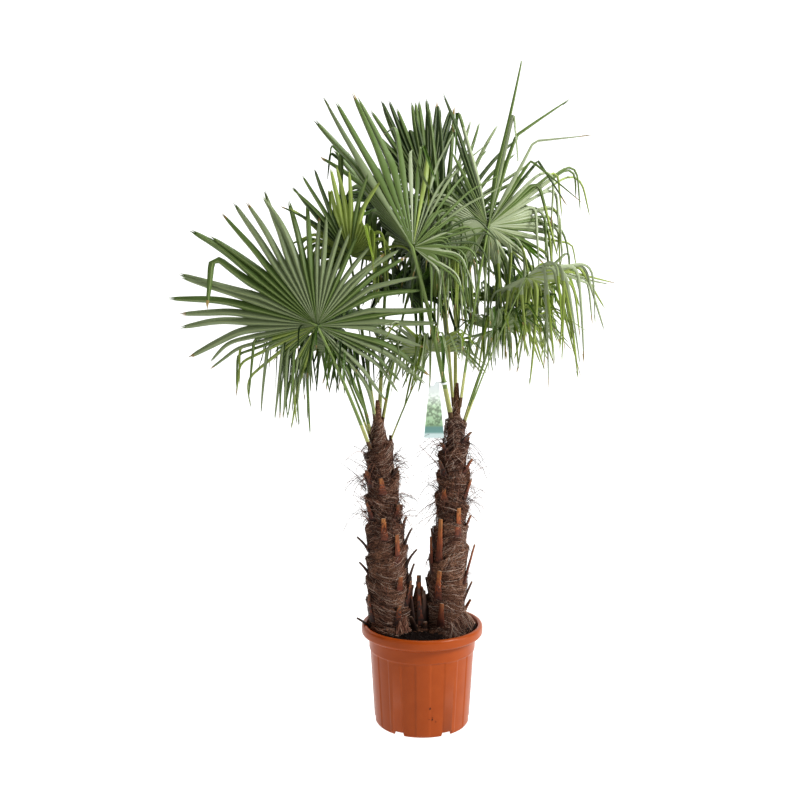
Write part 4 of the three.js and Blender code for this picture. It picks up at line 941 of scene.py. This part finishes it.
def leaf_material(name, colour, roughness):
    """Leaf: a glossy skin, ridged by fine veins that run along it and dulled in patches of 33 mm, over a body
    that lets a little light through. Its attribute holds each point's offset from the rib in millimetres."""
    material, tree, shader = new_material(name, Base_Color=linear(colour), IOR=1.45)
    offset = add_node(tree, "ShaderNodeAttribute", attribute_name="offset")
    phase = add_node(tree, "ShaderNodeMath", {0: offset.outputs["Fac"], 1: VEINS_PER_MM * 2 * math.pi},
                     operation="MULTIPLY")
    ridge = add_node(tree, "ShaderNodeMath", {0: phase.outputs[0]}, operation="SINE")
    bump = add_node(tree, "ShaderNodeBump",
                    {"Height": ridge.outputs[0], "Strength": 0.35, "Distance": 0.0002})
    coordinates = add_node(tree, "ShaderNodeTexCoord").outputs["Object"]
    patches = add_node(tree, "ShaderNodeTexNoise", {"Vector": coordinates, "Scale": 30.0, "Detail": 2.0})
    dulled = add_node(tree, "ShaderNodeMapRange",
                      {0: patches.outputs["Fac"], 1: 0.35, 2: 0.65, 3: roughness - 0.06, 4: roughness + 0.12})
    tree.links.new(bump.outputs[0], shader.inputs["Normal"])
    tree.links.new(dulled.outputs[0], shader.inputs["Roughness"])
    through = add_node(tree, "ShaderNodeBsdfTranslucent", {"Color": linear(GLOW)})
    mixed = add_node(tree, "ShaderNodeMixShader", {0: 0.18, 1: shader.outputs[0], 2: through.outputs[0]})
    tree.links.new(mixed.outputs[0], tree.nodes["Material Output"].inputs["Surface"])
    return material


leaf_materials = []
for number, (upper, lower) in enumerate(LEAF_TONES):
    leaf_materials.append(leaf_material(f"leaf_upper_{number}", upper, 0.28))
    leaf_materials.append(leaf_material(f"leaf_under_{number}", lower, 0.42))
leaf_materials.append(leaf_material("leaf_rib", RIB_COLOUR, 0.5))
leaf_materials.append(leaf_material("leaf_dry_tip", DRY_COLOUR, 0.6))
whole = np.ones(360 // SOLID_PITCH)  # no pleat of the solids limits a fringe
for leaf in LEAVES:
    sets = [("leaflets_", leaf, solid_reaches(leaf))]
    for number, more in enumerate(leaf["fringes"], 1):
        sets.append((f"fringe_{number}_", {**leaf, **EVEN, **more}, whole))
    for prefix, grown, solid_reach in sets:
        points, faces, numbers, offsets = fan(grown, solid_reach)
        blade = add_mesh(prefix + leaf["name"], points, faces)
        blade.data.attributes.new("offset", "FLOAT", "POINT").data.foreach_set("value", offsets)
        deal(blade, leaf_materials, numbers)
        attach(blade, "root")
        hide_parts("fan_" + leaf["name"])

# The label
# A plain plastic card that widens downwards and hangs beside a stalk from a strap round it. Its front is a
# soft green field between a pale head and a grey-green foot band.
# at: share of the stalk. aside: from the stalk to the card's middle. overlap: neck's share under the strap
LABEL = {"leaf": "right_1", "at": 0.21, "top_width": 31, "foot_width": 61, "height": 160, "thickness": 1.2,
         "corner": 3, "aside": 30, "neck": 12, "overlap": 0.7}
STRAP = {"around": (10.8, 8), "rows": 24, "thickness": 1.4, "width": 7}
TONGUE = {"start": (-21, 0, 1), "end": (-9.5, 0, 1), "rows": 6, "width": 4.8, "thickness": 1.6}
LABEL_COLOURS = [  # by the share of the height
    (0, "c8d6d6"), (0.07, "c3d5d3"), (0.11, "6f9690"), (0.2, "6a908a"), (0.24, "86a180"), (0.6, "abc0a4"),
    (0.8, "dde5de"), (1, "d9e0e0"),
]

leaf = next(one for one in LEAVES if one["name"] == LABEL["leaf"])
curve = stalk_curve(leaf)
centre = on_curve(curve, LABEL["at"])
top, wide, high = LABEL["top_width"] / 2, LABEL["foot_width"] / 2, LABEL["height"]
outline = round_corners([(0, -high), (wide, -high), (top, 0), (top, LABEL["neck"]), (4, LABEL["neck"]),
                         (-2, 0), (-top, 0), (-wide, -high), (0, -high)], LABEL["corner"])
flat = np.stack([outline[:, 0], 0 * outline[:, 0], outline[:, 1]], axis=-1)
flat = flat + centre + (-LABEL["aside"], 0, -LABEL["overlap"] * LABEL["neck"])
middle = np.repeat([centre - (LABEL["aside"], 0, 0.45 * high)], len(flat), axis=0)
half = np.array([0, LABEL["thickness"] / 2, 0])
rings = np.stack([middle - half, flat - half, flat + half, middle + half])
card = add_mesh("label_card", rings.reshape(-1, 3), grid_faces(4, len(flat), closed=False), smooth=False)
# Satin plastic: bands of pale green and white, and a field mottled by blots of 11 mm
material, tree, shader = new_material("label_card", Roughness=0.3, IOR=1.5)
coordinates = add_node(tree, "ShaderNodeTexCoord").outputs["Object"]
parts = add_node(tree, "ShaderNodeSeparateXYZ", {0: coordinates})
foot = (centre[2] - LABEL["overlap"] * LABEL["neck"] - high) / 1000
share = add_node(tree, "ShaderNodeMapRange", {0: parts.outputs["Z"], 1: foot, 2: foot + high / 1000})
blots = add_node(tree, "ShaderNodeTexNoise", {"Vector": coordinates, "Scale": 95.0, "Detail": 3.0})
contrast = add_node(tree, "ShaderNodeMapRange", {0: blots.outputs["Fac"], 1: 0.42, 2: 0.58, 3: 0.6, 4: 1.35})
ramp = add_node(tree, "ShaderNodeValToRGB", {"Fac": share.outputs[0]})
for place, colour in LABEL_COLOURS[1:-1]:
    ramp.color_ramp.elements.new(place)
for element, (place, colour) in zip(ramp.color_ramp.elements, LABEL_COLOURS):
    element.color = linear(colour)
inside = add_node(tree, "ShaderNodeMapRange", {0: share.outputs[0], 1: 0.22, 2: 0.26, 3: 0.0, 4: 1.0})
fade = add_node(tree, "ShaderNodeMapRange", {0: share.outputs[0], 1: 0.62, 2: 0.9, 3: 1.0, 4: 0.0})
field = add_node(tree, "ShaderNodeMath", {0: inside.outputs[0], 1: fade.outputs[0]}, operation="MULTIPLY")
mixed = add_node(tree, "ShaderNodeMix", {0: field.outputs[0], 6: ramp.outputs[0], 7: contrast.outputs[0]},
                 data_type="RGBA", blend_type="MULTIPLY")
tree.links.new(mixed.outputs[2], shader.inputs["Base Color"])
card.data.materials.append(material)


def even_tube(path, across, thick, hint):
    """One tube of an even width and thickness along a path."""
    half = np.full((1, len(path)), 0.5)
    return tubes(path[None], half * across, half * thick, hint, 10)


turn = np.linspace(0, 2 * np.pi, STRAP["rows"])
along_stalk = unit(on_curve(curve, LABEL["at"] + 0.01) - centre)
side = unit(np.cross(UP, unit((curve[2] - curve[0]) * (1, 1, 0))))
loop = centre + STRAP["around"][0] * np.cos(turn)[:, None] * side
loop = loop + STRAP["around"][1] * np.sin(turn)[:, None] * np.cross(along_stalk, side)
outwards = np.cross(np.gradient(loop, axis=0), along_stalk)[None]
strap = add_mesh("label_strap", *even_tube(loop, STRAP["thickness"], STRAP["width"], outwards))
bridge = centre + np.linspace(TONGUE["start"], TONGUE["end"], TONGUE["rows"])
tongue = add_mesh("label_tongue", *even_tube(bridge, TONGUE["width"], TONGUE["thickness"], UP))
# Soft white plastic with a satin skin
strap_material = new_material("label_strap", Base_Color=linear("e6ecea"), Roughness=0.35)[0]
for piece in (strap, tongue):
    piece.data.materials.append(strap_material)
for piece in (card, strap, tongue):
    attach(piece, "root")
    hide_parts("label")

# The studio
# A white sweep of paper under and behind the plant, a wide soft light from the front right, weaker ones from
# the left, from above and from the right, and a faint even surround, as for a catalogue picture.
SWEEP = {"front": -6000, "turn": 2600, "radius": 1500, "top": 7000, "half_width": 9000}
PAPER_GLOW = 0.93
SURROUND = 0.15
LIGHTS = [  # name, place, size, power and the point aimed at
    ("key", (2900, -1800, 2900), 1100, 132, (0, 0, 1000)),
    ("fill", (-2600, -2300, 2000), 2200, 10, (0, 0, 1100)),
    ("top", (200, 0, 3800), 1600, 60, (0, 0, 1200)),
    ("side", (3300, -700, 900), 1500, 22, (0, 0, 700)),
]
CAMERA = {"at": (-69.5, -3168, 1330), "down": 5.6, "sensor": 36, "focal_px": 1032, "picture_px": 800}

arc = np.linspace(0, math.pi / 2, 24)
profile = np.vstack([
    [(SWEEP["front"], 0)],
    np.stack([SWEEP["turn"] + SWEEP["radius"] * np.sin(arc), SWEEP["radius"] * (1 - np.cos(arc))], axis=1),
    [(SWEEP["turn"] + SWEEP["radius"], SWEEP["top"])],
])
points = np.array([(x, y, z) for y, z in profile for x in (-SWEEP["half_width"], SWEEP["half_width"])], float)
paper = add_mesh("paper_sweep", points, grid_faces(len(profile), 2, closed=False))
# Matt paper that glows a little of itself, so that it stays white in every corner
material = new_material("white_paper", Base_Color=(0.2, 0.2, 0.2, 1), Roughness=0.9,
                        Emission_Color=(1, 1, 1, 1), Emission_Strength=PAPER_GLOW)[0]
paper.data.materials.append(material)

for name, at, size, power, aim in LIGHTS:
    light = bpy.data.lights.new(name, "AREA")
    light.energy = power
    light.size = size / 1000
    lamp = bpy.data.objects.new(name, light)
    lamp.location = np.array(at) / 1000
    way = unit(np.array(aim, float) - at)
    lamp.rotation_euler = (math.acos(-way[2]), 0, math.atan2(-way[0], way[1]))
    bpy.context.scene.collection.objects.link(lamp)

world = bpy.data.worlds.new("white_surround")
bpy.context.scene.world = world
world.use_nodes = True
surround = world.node_tree.nodes["Background"]
surround.inputs["Color"].default_value = (1, 1, 1, 1)
surround.inputs["Strength"].default_value = SURROUND
bpy.context.scene.view_settings.view_transform = "Standard"
bpy.context.scene.view_settings.look = "Medium High Contrast"

lens = bpy.data.cameras.new("catalogue_camera")
lens.sensor_width = CAMERA["sensor"]
lens.lens = CAMERA["sensor"] * CAMERA["focal_px"] / CAMERA["picture_px"]
camera = bpy.data.objects.new("catalogue_camera", lens)
camera.location = np.array(CAMERA["at"]) / 1000
camera.rotation_euler = (math.radians(90 - CAMERA["down"]), 0, 0)
bpy.context.scene.collection.objects.link(camera)
bpy.context.scene.camera = camera
